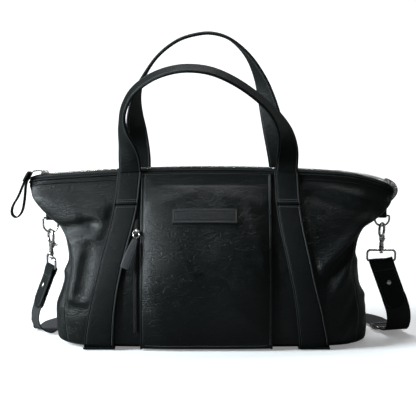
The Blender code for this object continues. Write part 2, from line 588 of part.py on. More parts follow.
# ---- The mouth's slider and pull ----
def make_main_slider(bag, tools):
    x = -0.2600
    z = top_edge(x)
    slope = math.atan2(top_edge(x + 0.002) - top_edge(x - 0.002), 0.004)
    place = Matrix.Translation((x, 0, z)) @ Matrix.Rotation(-slope, 4, "Y")
    top = box("main_slider", (-0.0065, -0.0050, -0.0005), (0.0065, 0.0050, 0.0012), "nickel", bag, bevel=0.0004)
    top.data.transform(place)
    under = box("main_slider_under_plate", (-0.0065, -0.0048, -0.0062), (0.0065, 0.0048, -0.0049), "nickel", bag,
                bevel=0.0004)
    under.data.transform(place)
    arch = [(-0.0045, 0, 0.0006), (-0.0038, 0, 0.0036), (-0.0020, 0, 0.0046), (0.0020, 0, 0.0046),
            (0.0038, 0, 0.0036), (0.0045, 0, 0.0006)]
    bridge = wire("main_slider_bridge", arch, 0.0007, "nickel", bag, sides=1)
    bridge.data.transform(place)
    combine(top, bridge, "UNION", tools)
    pivot = place @ Vector((-0.0012, 0, 0.0025))
    link = [(pivot.x + 0.0, pivot.y + 0.0024, pivot.z + 0.0002), (pivot.x - 0.0160, 0.0042, pivot.z + 0.0006),
            (pivot.x - 0.0190, 0.0036, pivot.z - 0.0012), (pivot.x - 0.0190, -0.0036, pivot.z - 0.0012),
            (pivot.x - 0.0160, -0.0042, pivot.z + 0.0006), (pivot.x + 0.0, -0.0024, pivot.z + 0.0002)]
    wire("main_pull_link", link, 0.0008, "nickel", bag, cyclic=True, sides=1)
    start = Vector((pivot.x - 0.0212, 0.0, pivot.z - 0.0022))
    loop = [start, start + Vector((-0.0085, -0.001, -0.0120)), start + Vector((-0.0185, -0.003, -0.0350)),
            start + Vector((-0.0280, -0.004, -0.0520)), start + Vector((-0.0290, -0.005, -0.0640)),
            start + Vector((-0.0215, -0.006, -0.0690)), start + Vector((-0.0130, -0.006, -0.0590)),
            start + Vector((-0.0085, -0.010, -0.0400)), start + Vector((-0.0060, -0.010, -0.0180)),
            start + Vector((-0.0012, -0.0105, -0.0010))]
    points = [curve_through(loop, t) for t in steps(0, 1, 22)]
    across = [Vector((0.25, 0.97, 0.0))] * 22
    sheet_along("main_pull_loop", points, across, [0.0085] * 22, 0.0016, "strap_leather", bag)
    return pivot


# ---- Shoulder strap hardware ----
def make_ring(side, bag, tools):
    x, bar_z, drop = RING_AT[side]
    sign = math.copysign(1.0, x)
    arc = [(x + u, 0.0, v) for u, v in circle(0, bar_z - drop, RING_RADIUS, 13, 180, 360)]
    arc += [(x + RING_RADIUS, 0.0, bar_z - 0.0022), (x + RING_RADIUS - 0.0022, 0.0, bar_z),
            (x - RING_RADIUS + 0.0022, 0.0, bar_z), (x - RING_RADIUS, 0.0, bar_z - 0.0022)]
    wire(f"d_ring_{side}", arc, RING_WIRE, "nickel", bag, cyclic=True)
    top = [bar_z + 0.0052, bar_z + 0.0110]
    stem = [(x - sign * 0.0070, bar_z - 0.0004), (x + sign * 0.0070, bar_z - 0.0004),
            (x + sign * 0.0070, top[1]), (x - sign * 0.0070, top[0])]
    stem = stem if sign > 0 else stem[::-1]
    tab = prism(f"ring_tab_{side}", stem, -0.0021, 0.0021, "strap_leather", bag, axis="Y")
    loop = cylinder(f"ring_tab_{side}_loop", (x - 0.0070, 0, bar_z), (x + 0.0070, 0, bar_z), 0.0044,
                    "strap_leather", bag)
    hole = cylinder(f"ring_tab_{side}_hole", (x - 0.02, 0, bar_z), (x + 0.02, 0, bar_z), 0.0025,
                    "strap_leather", bag)
    combine(tab, loop, "UNION", tools)
    combine(tab, hole, "DIFFERENCE", tools)


def band(cx, cz, radius, half, start, stop, count=13):
    """Outline of a bent flat bar: an arc band between two angles."""
    return circle(cx, cz, radius + half, count, start, stop) + circle(cx, cz, radius - half, count, stop, start)


def make_hook(side, bag, tools):
    """Scissor snap: fixed jaw with its barrel, sprung jaw with its thumb lever, rivet, and swivel loop."""
    x, bar_z, drop = RING_AT[side]
    eye_z = bar_z - drop - RING_RADIUS - EYE_DROP
    pin_z = eye_z - EYE_RADIUS - 0.0030
    turn, pivot = HOOK_TURN[side], (x, 0.0, 0.0)
    low = pin_z - 0.0190
    fixed = prism(f"hook_{side}", band(x, eye_z, EYE_RADIUS, EYE_WIRE, -80, 86), -0.0017, 0.0017, "nickel", bag, "Y")
    plate = circle(x, pin_z, 0.0050, 12, -58, 238) + [(x - 0.0026, pin_z - 0.0082), (x + 0.0026, pin_z - 0.0082)]
    cheek = prism(f"hook_{side}_cheek", plate, -0.0016, 0.0016, "nickel", bag, "Y")
    barrel = cylinder(f"hook_{side}_barrel", (x, 0, pin_z - 0.0120), (x, 0, pin_z - 0.0068), 0.0036, "nickel", bag)
    post = cylinder(f"hook_{side}_post", (x, 0, low - 0.0040), (x, 0, pin_z - 0.0100), 0.0014, "nickel", bag)
    head = cylinder(f"hook_{side}_head", (x, 0, low - 0.0048), (x, 0, low - 0.0031), 0.0030, "nickel", bag)
    hole = cylinder(f"hook_{side}_hole", (x, -0.01, pin_z), (x, 0.01, pin_z), 0.0017, "nickel", bag)
    jaw = prism(f"hook_gate_{side}", band(x, eye_z, EYE_RADIUS, EYE_WIRE, 92, 262), -0.0017, 0.0017,
                "nickel", bag, "Y")
    eye_cut = cylinder(f"hook_gate_{side}_cut", (x, -0.01, pin_z), (x, 0.01, pin_z), 0.0055, "nickel", bag)
    leaf = prism(f"hook_gate_{side}_leaf", circle(x, pin_z, 0.0062, 14), 0.0021, 0.0034, "nickel", bag, "Y")
    arm = prism(f"hook_gate_{side}_arm", [(x - 0.0075, pin_z + 0.0030), (x - 0.0050, pin_z + 0.0030),
                (x - 0.0030, pin_z + 0.0050), (x - 0.0055, pin_z + 0.0075), (x - 0.0085, pin_z + 0.0070)],
                0.0010, 0.0036, "nickel", bag, "Y")
    lever = prism(f"hook_gate_{side}_lever", [(x - 0.0165, pin_z + 0.0008), (x - 0.0030, pin_z - 0.0016),
                  (x - 0.0030, pin_z + 0.0022), (x - 0.0165, pin_z + 0.0030)], 0.0023, 0.0040, "nickel", bag, "Y")
    gate_hole = cylinder(f"hook_gate_{side}_hole", (x, -0.01, pin_z), (x, 0.01, pin_z), 0.0017, "nickel", bag)
    rivet = cylinder(f"hook_rivet_{side}", (x, -0.0028, pin_z), (x, 0.0048, pin_z), 0.0013, "nickel", bag)
    cap = cylinder(f"hook_rivet_{side}_cap", (x, 0.0044, pin_z), (x, 0.0055, pin_z), 0.0025, "nickel", bag)
    foot = cylinder(f"hook_rivet_{side}_foot", (x, -0.0032, pin_z), (x, -0.0021, pin_z), 0.0025, "nickel", bag)
    joins = ((fixed, cheek), (fixed, barrel), (fixed, post), (fixed, head), (rivet, cap), (rivet, foot))
    for owner, piece in joins:
        combine(owner, piece, "UNION", tools)
    combine(fixed, hole, "DIFFERENCE", tools)
    combine(jaw, eye_cut, "DIFFERENCE", tools)
    for piece in (leaf, arm, lever):
        combine(jaw, piece, "UNION", tools)
    combine(jaw, gate_hole, "DIFFERENCE", tools)
    for piece in (fixed, cheek, barrel, post, head, hole, jaw, eye_cut, leaf, arm, lever, gate_hole, rivet, cap,
                  foot):
        turned(piece, turn, pivot)
    return pin_z


def make_loop(side, low_z, across, bag, tools):
    """The strap's rectangular loop with the swivel socket on its top bar."""
    x = RING_AT[side][0]
    top, foot, half, corner = low_z - 0.0190, low_z - 0.0190 - LOOP_HEIGHT, LOOP_HALF_WIDTH, 0.0050
    corners = []
    for cx, cz, start in ((half - corner, top - corner, 0), (-half + corner, top - corner, 90),
                          (-half + corner, foot + corner, 180), (half - corner, foot + corner, 270)):
        corners += circle(cx, cz, corner, 5, start, start + 90)
    points = [(x + u, 0.0, v) for u, v in corners]
    loop = wire(f"strap_loop_{side}", points, LOOP_WIRE, "nickel", bag, cyclic=True)
    socket = cylinder(f"strap_loop_{side}_socket", (x, 0, top - 0.0026), (x, 0, low_z - 0.0124), 0.0042,
                      "nickel", bag)
    hole = cylinder(f"strap_loop_{side}_hole", (x, 0, top - 0.01), (x, 0, low_z - 0.01), 0.0018, "nickel", bag)
    combine(loop, socket, "UNION", tools)
    combine(loop, hole, "DIFFERENCE", tools)
    degrees = math.degrees(math.atan2(across[1], across[0]))
    for piece in (loop, socket, hole):
        turned(piece, degrees, (x, 0.0, 0.0))
    return foot


def strip(name, route, width, thickness, slot, count, bag):
    """A flat strip through (point, width direction) pairs."""
    points = [curve_through([p for p, _ in route], t) for t in steps(0, 1, count)]
    across = [curve_through([w for _, w in route], t) for t in steps(0, 1, count)]
    return sheet_along(name, points, across, [width] * count, thickness, slot, bag)


def make_strap_end(side, foot, bag, tools):
    """The leather tab folded round the loop's lower bar, and its rivet."""
    route = LEFT_TAB if side == "left" else RIGHT_TAB
    tab = strip(f"strap_tab_{side}", route, TAB_WIDTH, 0.0060, "strap_leather", 8, bag)
    middle = curve_through([p for p, _ in route], 0.45)
    across = curve_through([w for _, w in route], 0.45)
    along = (curve_through([p for p, _ in route], 0.5) - curve_through([p for p, _ in route], 0.4)).normalized()
    out = across.cross(along).normalized()
    out = out if out.y < 0 else -out
    cylinder(f"tab_rivet_{side}", middle + out * 0.0034, middle + out * 0.0050, 0.0042, "nickel", bag)
    bar = Vector((RING_AT[side][0], 0.0, foot))
    reach = Vector(route[0][1]).normalized()
    sleeve = cylinder(f"strap_tab_{side}_sleeve", bar - reach * 0.0160, bar + reach * 0.0160, 0.0045,
                      "strap_leather", bag)
    hole = cylinder(f"strap_tab_{side}_hole", bar - reach * 0.03, bar + reach * 0.03, 0.0023, "strap_leather", bag)
    combine(tab, sleeve, "UNION", tools)
    combine(tab, hole, "DIFFERENCE", tools)


def make_adjuster(bag, tools):
    """Three-bar slide: the webbing runs over its middle bar and under its end bars."""
    along = Vector(ADJUSTER_ALONG).normalized()
    across = along.cross(Vector((0, 0, 1)))
    place = Matrix.Translation(ADJUSTER_AT) @ Matrix((( along.x, across.x, 0, 0), (along.y, across.y, 0, 0),
                                                      (0, 0, 1, 0), (0, 0, 0, 1)))
    if place.determinant() < 0:
        place = place @ Matrix.Scale(-1, 4, (0, 1, 0))
    rails = [box(f"adjuster_rail_{k}", (-0.0154, s * 0.0215 - 0.0013, -0.0036), (0.0154, s * 0.0215 + 0.0013, 0.0036),
                 "nickel", bag) for k, s in enumerate((-1, 1))]
    frame = box("adjuster", (-0.0013, -0.0215, -0.0034), (0.0013, 0.0215, -0.0016), "nickel", bag)
    bars = [box(f"adjuster_bar_{k}", (s * 0.0135 - 0.0015, -0.0215, 0.0016), (s * 0.0135 + 0.0015, 0.0215, 0.0034),
                "nickel", bag) for k, s in enumerate((-1, 1))]
    for piece in (*rails, *bars):
        combine(frame, piece, "UNION", tools)
    for piece in (frame, *rails, *bars):
        piece.data.transform(place)


def main():
    clear_scene()
    bag = new_collection("diaper_bag")
    tools = new_collection("cutters")
    make_shell(bag)
    make_lining(bag)
    make_mouth(bag)
    make_zip_return(bag)
    make_straps(bag)
    make_handles(bag)
    make_front_pocket(bag)
    centre, swing = make_pocket_zip(bag, tools)
    pivot = make_main_slider(bag, tools)
    print("pocket track centre", centre, "pull", tuple(swing), "main pull pivot", tuple(pivot))
    for side, across in (("left", LEFT_TAB[0][1]), ("right", RIGHT_TAB[0][1])):
        make_ring(side, bag, tools)
        pin_z = make_hook(side, bag, tools)
        foot = make_loop(side, pin_z, across, bag, tools)
        make_strap_end(side, foot, bag, tools)
    strip("webbing", WEBBING, WEB_WIDTH, WEB_THICKNESS, "webbing", 58, bag)
    make_adjuster(bag, tools)
    shift = Matrix.Translation((-FOOTPRINT_MIDDLE[0], -FOOTPRINT_MIDDLE[1], 0.0))
    for obj in (*bag.objects, *tools.objects):
        obj.data.transform(shift)


main()
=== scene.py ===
import math

import bmesh
import bpy
import numpy as np
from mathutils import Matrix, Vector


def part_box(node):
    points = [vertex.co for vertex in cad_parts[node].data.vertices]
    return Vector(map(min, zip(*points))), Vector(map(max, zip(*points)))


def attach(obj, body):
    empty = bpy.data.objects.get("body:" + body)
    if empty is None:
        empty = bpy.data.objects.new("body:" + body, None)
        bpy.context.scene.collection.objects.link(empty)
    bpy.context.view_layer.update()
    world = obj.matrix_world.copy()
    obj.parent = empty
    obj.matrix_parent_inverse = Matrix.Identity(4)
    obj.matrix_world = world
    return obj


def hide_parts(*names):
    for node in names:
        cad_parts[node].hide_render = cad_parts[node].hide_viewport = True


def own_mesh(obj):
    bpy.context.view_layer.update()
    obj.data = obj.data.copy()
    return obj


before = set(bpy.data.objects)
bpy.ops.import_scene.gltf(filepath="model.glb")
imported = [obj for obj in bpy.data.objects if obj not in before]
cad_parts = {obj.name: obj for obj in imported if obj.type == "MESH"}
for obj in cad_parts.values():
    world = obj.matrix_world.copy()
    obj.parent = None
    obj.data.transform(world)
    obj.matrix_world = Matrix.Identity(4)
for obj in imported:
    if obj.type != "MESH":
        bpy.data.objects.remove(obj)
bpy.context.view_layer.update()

print("frame loaded:", len(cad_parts), "nodes")

frontLow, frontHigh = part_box("front_panel")
rearLow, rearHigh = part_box("rear_panel")
# every shape below is worked out about the bag's own middle, and moved here when its mesh is made
bagMiddle = np.array([(frontLow[0] + frontHigh[0]) / 2, (frontLow[1] + rearHigh[1]) / 2, 0.0])


# numbers along curves
def smoothTable(table, place):
    # monotone cubic through (place, value) pairs, its slopes the harmonic means of neighbouring chords
    xs, ys = np.array(table, float).T
    place = np.clip(place, xs[0], xs[-1])
    chord = np.diff(ys) / np.diff(xs)
    slope = np.zeros(len(xs))
    slope[-1] = chord[-1]
    same = chord[:-1] * chord[1:] > 0
    inner = np.zeros(len(xs) - 2)
    inner[same] = 2 * (chord[:-1] * chord[1:])[same] / (chord[:-1] + chord[1:])[same]
    slope[1:-1] = inner
    i = np.clip(np.searchsorted(xs, place, side="right") - 1, 0, len(xs) - 2)
    span = xs[i + 1] - xs[i]
    u = (place - xs[i]) / span
    return (ys[i] * (1 + 2 * u) * (1 - u) ** 2 + slope[i] * span * u * (1 - u) ** 2
            + ys[i + 1] * u ** 2 * (3 - 2 * u) + slope[i + 1] * span * u ** 2 * (u - 1))


def splineStep(before, a, b, after, u):
    # Catmull-Rom: a to b as u goes 0 to 1, with the slopes of the neighbouring points
    return 0.5 * (2 * a + (b - before) * u + (2 * before - 5 * a + 4 * b - after) * u ** 2
                  + (3 * a - 3 * b + after - before) * u ** 3)


def curveThrough(points, t):
    # Catmull-Rom curve through equally spaced control points, at shares t of its length
    p = np.asarray(points, float)
    last = len(p) - 1
    s = np.clip(t, 0, 1) * last
    i = np.minimum(s.astype(int), last - 1)
    u = (s - i)[:, None]
    a, b = p[i], p[i + 1]
    before, after = p[np.maximum(i - 1, 0)], p[np.minimum(i + 2, last)]
    return splineStep(before, a, b, after, u)


def distances(path):
    # how far along a path each of its points lies
    return np.concatenate([[0], np.cumsum(np.linalg.norm(np.diff(path, axis=0), axis=1))])


def lookUp(values, run, at):
    # rows of values given at distances run, read off at distances at
    return np.stack([np.interp(at, run, values[:, k]) for k in range(3)], -1)


def unit(v):
    return v / np.maximum(np.linalg.norm(v, axis=-1, keepdims=True), 1e-12)


def bump(x):
    # a smooth hump: 1 at 0, 0.37 at 1
    return np.exp(-x * x)


def ramp(x, low, high):
    # smooth step from 0 at low to 1 at high
    u = np.clip((x - low) / (high - low), 0, 1)
    return u * u * (3 - 2 * u)


def edgeShares(count, length, edge, extra=4):
    # shares 0 to 1, evenly spread with a few more close to both ends, within edge metres of them
    near = edge / length * (1 - np.cos(np.linspace(0, math.pi / 2, extra + 1)))
    middle = np.linspace(near[-1], 1 - near[-1], count)
    return np.concatenate([near[:-1], middle, (1 - near[:-1])[::-1]])


# meshes
def gridFaces(rows, columns, loop=False):
    # quads of a grid stored row by row; loop joins each row's last column to its first
    r = np.arange(rows - 1)[:, None]
    c = np.arange(columns if loop else columns - 1)[None, :]
    d = (c + 1) % columns
    return np.stack([r * columns + c, r * columns + d, (r + 1) * columns + d, (r + 1) * columns + c],
                    -1).reshape(-1, 4)


def endCaps(rows, columns):
    # the two polygons that close a grid whose rows are loops
    return [np.arange(columns)[::-1], (rows - 1) * columns + np.arange(columns)]


def makePiece(name, points, faces, finish, body, stands=(), caps=(), uv=None, sharp=None):
    # a mesh from an array of points and its faces: doubles merged, normals outwards, riding on a body
    mesh = bpy.data.meshes.new(name)
    points = np.asarray(points, float).reshape(-1, 3) + bagMiddle
    mesh.from_pydata(points.tolist(), [], np.asarray(faces).tolist() + [list(map(int, cap)) for cap in caps])
    if uv is not None:
        layer = mesh.uv_layers.new(name="UVMap")
        corners = np.empty(len(mesh.loops), dtype=np.int32)
        mesh.loops.foreach_get("vertex_index", corners)
        layer.data.foreach_set("uv", np.asarray(uv, float).reshape(-1, 2)[corners].ravel())
    made = bmesh.new()
    made.from_mesh(mesh)
    bmesh.ops.remove_doubles(made, verts=made.verts, dist=2e-6)
    bmesh.ops.dissolve_degenerate(made, edges=made.edges, dist=1e-7)
    bmesh.ops.recalc_face_normals(made, faces=made.faces)
    made.to_mesh(mesh)
    made.free()
    mesh.shade_smooth()
    if sharp:
        mesh.set_sharp_from_angle(angle=math.radians(sharp))
    mesh.materials.append(finish)
    piece = bpy.data.objects.new(name, mesh)
    bpy.context.scene.collection.objects.link(piece)
    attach(piece, body)
    if stands:
        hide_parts(*stands)
    return piece


def gridNormals(surface):
    # unit normals of a grid of points: the cross product of its two directions
    across = np.gradient(surface, axis=1)
    along = np.gradient(surface, axis=0)
    return unit(np.cross(across, along))


def edgeDistances(surface):
    # distances, over the surface, from each point to the first and last column and the first and last row
    cols = np.linalg.norm(np.diff(surface, axis=1), axis=2)
    rows = np.linalg.norm(np.diff(surface, axis=0), axis=2)
    left = np.concatenate([np.zeros((len(surface), 1)), np.cumsum(cols, 1)], 1)
    low = np.concatenate([np.zeros((1, surface.shape[1])), np.cumsum(rows, 0)], 0)
    return left, left[:, -1:] - left, low, low[-1:] - low


def slab(surface, thickness, outward, roundEdge=None):
    # a sheet with thickness: the grid is its outer face, the inner one lies inwards, and both close
    # at the rim in a half round: thickness times sqrt(1 - (1 - d/r)^2) at distance d from the rim
    normals = gridNormals(surface)
    if (normals[len(surface) // 2, surface.shape[1] // 2] @ np.asarray(outward, float)) < 0:
        normals = -normals
    nearest = np.minimum.reduce(edgeDistances(surface))
    radius = roundEdge or thickness / 2
    share = np.sqrt(np.clip(1 - (1 - np.clip(nearest / radius, 0, 1)) ** 2, 0, 1))[..., None]
    core = surface - normals * thickness / 2
    outer, inner = core + normals * thickness / 2 * share, core - normals * thickness / 2 * share
    rows, columns = surface.shape[:2]
    quads = gridFaces(rows, columns)
    points = np.concatenate([outer.reshape(-1, 3), inner.reshape(-1, 3)])
    return points, np.concatenate([quads, quads[:, ::-1] + rows * columns]), normals


def frames(path, side):
    # tangent, width direction and face direction at each point of a path
    tangent = unit(np.gradient(path, axis=0))
    side = unit(side - tangent * np.sum(side * tangent, axis=1, keepdims=True))
    return tangent, side, np.cross(tangent, side)


def sweep(path, side, profile, scale=None, closed=False):
    # a closed profile of (width, height) points carried along a path; scale (n, 2) resizes it on the way
    tangent, across, face = frames(path, side)
    if closed:
        tangent = unit(np.roll(path, -1, 0) - np.roll(path, 1, 0))
        across = unit(side - tangent * np.sum(side * tangent, axis=1, keepdims=True))
        face = np.cross(tangent, across)
    profile = np.asarray(profile, float)
    if profile.ndim == 2:
        profile = np.repeat(profile[None], len(path), 0)
    if scale is not None:
        profile = profile * np.asarray(scale, float)[:, None, :]
    points = path[:, None] + across[:, None] * profile[..., :1] + face[:, None] * profile[..., 1:]
    rows, columns = points.shape[:2]
    quads = gridFaces(rows, columns, loop=True)
    if closed:
        c = np.arange(columns)
        d = (c + 1) % columns
        last = (rows - 1) * columns
        quads = np.concatenate([quads, np.stack([last + c, last + d, d, c], -1)])
        return points, quads, []
    return points, quads, endCaps(rows, columns)


def roundSection(radius, count=14, flat=1.0):
    a = np.linspace(0, 2 * math.pi, count, endpoint=False)
    return np.stack([radius * np.cos(a), radius * flat * np.sin(a)], -1)


def strapSection(width, thickness, crown=0.0006, groove=0.0007, inset=0.0034, half=19):
    # a flat strap's outline: rounded edges, a crowned face with a stitching groove near each edge
    u = np.sin(np.linspace(-math.pi / 2, math.pi / 2, 2 * half + 1))
    x = u * width / 2
    past = np.clip(np.abs(x) - (width - thickness) / 2, 0, None) / (thickness / 2)
    edge = np.sqrt(np.clip(1 - past ** 2, 0, 1))
    top = thickness / 2 * edge + crown * (1 - u ** 2)
    top -= groove * bump((np.abs(x) - (width / 2 - inset)) / 0.0009)
    face = np.stack([x, top], -1)
    back = np.stack([x, -thickness / 2 * edge], -1)[::-1]
    return np.concatenate([face, back[1:-1]])


def joinMeshes(parts):
    # several (points, faces, caps) as one
    points, quads, caps, start = [], [], [], 0
    for part in parts:
        flat = np.asarray(part[0], float).reshape(-1, 3)
        points.append(flat)
        quads.append(np.asarray(part[1]) + start)
        caps += [np.asarray(cap) + start for cap in (part[2] if len(part) > 2 else [])]
        start += len(flat)
    return np.concatenate(points), np.concatenate(quads), caps


# stitches
thread = {"pitch": 0.0034, "length": 0.0027, "radius": 0.00036}


def stitchLine(path, normals, pitch=None, length=None, radius=None):
    # small capsules at even steps along a path, each sunk a little at both ends as a sewn thread is
    pitch, length, radius = pitch or thread["pitch"], length or thread["length"], radius or thread["radius"]
    run = distances(path)
    count = max(1, int(run[-1] // pitch))
    at = (np.arange(count) + 0.5) * run[-1] / count

    centre = lookUp(path, run, at)
    ahead = lookUp(path, run, np.minimum(at + pitch / 4, run[-1]))
    along = unit(ahead - lookUp(path, run, np.maximum(at - pitch / 4, 0)))
    up = unit(lookUp(normals, run, at))
    side = unit(np.cross(along, up))
    ringAt = np.array([-0.5, -0.36, 0.0, 0.36, 0.5]) * length
    ringWide = np.array([0.45, 0.95, 1.0, 0.95, 0.45]) * radius
    ringUp = np.array([-0.75, 0.1, 0.35, 0.1, -0.75]) * radius
    a = np.linspace(0, 2 * math.pi, 6, endpoint=False)
    high, wide = ringUp[:, None] + ringWide[:, None] * np.sin(a), ringWide[:, None] * np.cos(a)
    points = (centre[:, None, None] + along[:, None, None] * ringAt[:, None, None]
              + up[:, None, None] * high[..., None] + side[:, None, None] * wide[..., None])
    one = gridFaces(5, 6, loop=True)
    quads = (one[None] + np.arange(count)[:, None, None] * 30).reshape(-1, 4)
    ends = np.array([[5, 4, 3, 2, 1, 0], [24, 25, 26, 27, 28, 29]])
    caps = (ends[None] + np.arange(count)[:, None, None] * 30).reshape(-1, 6)
    return points.reshape(-1, 3), quads, list(caps)


def stitchPiece(name, lines, body):
    points, quads, caps = joinMeshes(lines)
    return makePiece(name, points, quads, threadFinish, body, caps=caps)


# materials
def newFinish(name, colour, metallic=0.0, roughness=0.5):
    finish = bpy.data.materials.new(name)
    finish.use_nodes = True
    shader = finish.node_tree.nodes["Principled BSDF"]
    shader.inputs["Base Color"].default_value = (*colour, 1.0)
    shader.inputs["Metallic"].default_value = metallic
    shader.inputs["Roughness"].default_value = roughness
    finish.diffuse_color = (*colour, 1.0)
    return finish, finish.node_tree, shader


def addNode(tree, kind, settings=None, **inputs):
    # a node, its settings, and its inputs given as numbers or as another node's output
    node = tree.nodes.new(kind)
    for key, value in (settings or {}).items():
        setattr(node, key, value)
    for key, value in inputs.items():
        socket = node.inputs[int(key[1:])] if key[0] == "i" and key[1:].isdigit() else node.inputs[key]
        if isinstance(value, bpy.types.NodeSocket):
            tree.links.new(value, socket)
        else:
            socket.default_value = value
    return node


def sums(tree, operation, a, b=0.0):
    return addNode(tree, "ShaderNodeMath", {"operation": operation}, i0=a, i1=b).outputs[0]


def mapped(tree, value, low, high, fromLow=0.0, fromHigh=1.0):
    return addNode(tree, "ShaderNodeMapRange", None, i0=value, i1=fromLow, i2=fromHigh, i3=low,
                   i4=high).outputs[0]


def noise(tree, place, scale, detail=3.0, roughness=0.5):
    return addNode(tree, "ShaderNodeTexNoise", None, Vector=place, Scale=scale, Detail=detail,
                   Roughness=roughness).outputs[0]


def bumped(tree, shader, height):
    node = addNode(tree, "ShaderNodeBump", None, Height=height, Distance=1.0, Strength=1.0)
    tree.links.new(node.outputs[0], shader.inputs["Normal"])


def mixColour(tree, share, low, high):
    node = addNode(tree, "ShaderNodeMix", {"data_type": "RGBA"}, i0=share)
    node.inputs[6].default_value = (*low, 1.0)
    node.inputs[7].default_value = (*high, 1.0)
    return node.outputs[2]


def leatherFinish(name, dark, light, roughness, cell=0.0011, grain=0.00010, crease=0.00022, specular=0.5):
    # leather: pebbles from the distance to cell edges, fine pores, slow hide variation and a few long creases
    finish, tree, shader = newFinish(name, dark, 0.0, roughness[0])
    place = addNode(tree, "ShaderNodeTexCoord").outputs["Object"]
    warp = noise(tree, place, 240.0, 2.0)
    cells = addNode(tree, "ShaderNodeTexVoronoi", {"feature": "DISTANCE_TO_EDGE"}, Vector=place,
                    Scale=1.0 / cell, Randomness=1.0).outputs["Distance"]
    pebbles = mapped(tree, cells, 0.0, 1.0, 0.0, 0.22)
    pores = noise(tree, place, 2600.0, 2.0, 0.6)
    hide = noise(tree, place, 9.0, 4.0, 0.55)
    scuffs = noise(tree, place, 70.0, 5.0, 0.65)
    stretched = addNode(tree, "ShaderNodeMapping", None, Vector=place, Scale=(1.0, 1.0, 2.6)).outputs[0]
    creases = sums(tree, "ABSOLUTE", sums(tree, "SUBTRACT", noise(tree, stretched, 34.0, 3.0, 0.6), 0.5))
    creaseLine = mapped(tree, creases, 0.0, 1.0, 0.0, 0.035)
    tree.links.new(mixColour(tree, mapped(tree, hide, 0.0, 1.0, 0.3, 0.7), dark, light),
                   shader.inputs["Base Color"])
    shine = sums(tree, "ADD", mapped(tree, hide, roughness[0], roughness[1], 0.3, 0.7),
                 mapped(tree, scuffs, -0.05, 0.07, 0.35, 0.65))
    shine = sums(tree, "ADD", shine, mapped(tree, pebbles, 0.05, 0.0))
    tree.links.new(shine, shader.inputs["Roughness"])
    rough = sums(tree, "ADD", sums(tree, "MULTIPLY", pebbles, grain),
                 sums(tree, "MULTIPLY", pores, grain * 0.35))
    rough = sums(tree, "ADD", rough, sums(tree, "MULTIPLY", creaseLine, crease))
    rough = sums(tree, "ADD", rough, sums(tree, "MULTIPLY", warp, grain * 0.6))
    bumped(tree, shader, rough)
    shader.inputs["Specular IOR Level"].default_value = specular
    return finish


def metalFinish(name, colour, roughness):
    # plated metal: faint polishing lines and finger marks in its roughness, tiny dents in its surface
    finish, tree, shader = newFinish(name, colour, 1.0, roughness)
    place = addNode(tree, "ShaderNodeTexCoord").outputs["Object"]
    lines = addNode(tree, "ShaderNodeMapping", None, Vector=place, Scale=(1.0, 1.0, 14.0)).outputs[0]
    fine, marks = noise(tree, lines, 900.0, 2.0), noise(tree, place, 160.0, 3.0)
    shine = sums(tree, "ADD", mapped(tree, marks, roughness * 0.8, roughness * 1.6, 0.35, 0.65),
                 mapped(tree, fine, -0.03, 0.04))
    tree.links.new(shine, shader.inputs["Roughness"])
    tree.links.new(mixColour(tree, marks, tuple(c * 0.86 for c in colour), colour),
                   shader.inputs["Base Color"])
    dents, polish = sums(tree, "MULTIPLY", marks, 0.00010), sums(tree, "MULTIPLY", fine, 0.000008)
    bumped(tree, shader, sums(tree, "ADD", dents, polish))
    return finish


def weaveFinish(name, dark, light, pitch, depth, roughness, space="UV", sheen=0.04):
    # woven cloth: warp and weft threads as two crossed waves, each one over and one under the other in turn;
    # the colour follows the threads' height, with painted shade in the hollows between them
    finish, tree, shader = newFinish(name, dark, 0.0, roughness)
    place = addNode(tree, "ShaderNodeTexCoord").outputs[space]
    split = addNode(tree, "ShaderNodeSeparateXYZ", None, Vector=place).outputs
    u = sums(tree, "MULTIPLY", split[0], 2 * math.pi / pitch[0])
    length = split[1] if space == "UV" else sums(tree, "ADD", split[1], split[2])
    v = sums(tree, "MULTIPLY", length, 2 * math.pi / pitch[1])
    warp, weft = sums(tree, "SINE", u), sums(tree, "SINE", v)
    crossing = sums(tree, "MULTIPLY", warp, weft)
    rib = sums(tree, "ABSOLUTE", sums(tree, "SINE", sums(tree, "MULTIPLY", u, 0.5)))
    ribs = sums(tree, "MULTIPLY", rib, 0.9)
    height = sums(tree, "ADD", ribs, sums(tree, "MULTIPLY", crossing, 0.5))
    fuzz = noise(tree, place, 2200.0 if space == "Object" else 1500.0, 2.0)
    # painted shade: the colour darkens with the threads' height, into the hollows between them
    tree.links.new(mixColour(tree, mapped(tree, height, 0.0, 1.0, -0.3, 1.2), dark, light),
                   shader.inputs["Base Color"])
    tree.links.new(mapped(tree, fuzz, roughness - 0.08, roughness + 0.08), shader.inputs["Roughness"])
    threads, hairs = sums(tree, "MULTIPLY", height, depth), sums(tree, "MULTIPLY", fuzz, depth * 0.3)
    bumped(tree, shader, sums(tree, "ADD", threads, hairs))
    shader.inputs["Sheen Weight"].default_value = sheen
    return finish


def plainFinish(name, dark, light, roughness, scale, depth):
    # one dull finish with a fine grain: thread, board
    finish, tree, shader = newFinish(name, dark, 0.0, roughness)
    place = addNode(tree, "ShaderNodeTexCoord").outputs["Object"]
    grain = noise(tree, place, scale, 3.0)
    tree.links.new(mixColour(tree, grain, dark, light), shader.inputs["Base Color"])
    tree.links.new(mapped(tree, grain, roughness - 0.07, roughness + 0.07), shader.inputs["Roughness"])
    bumped(tree, shader, sums(tree, "MULTIPLY", grain, depth))
    return finish


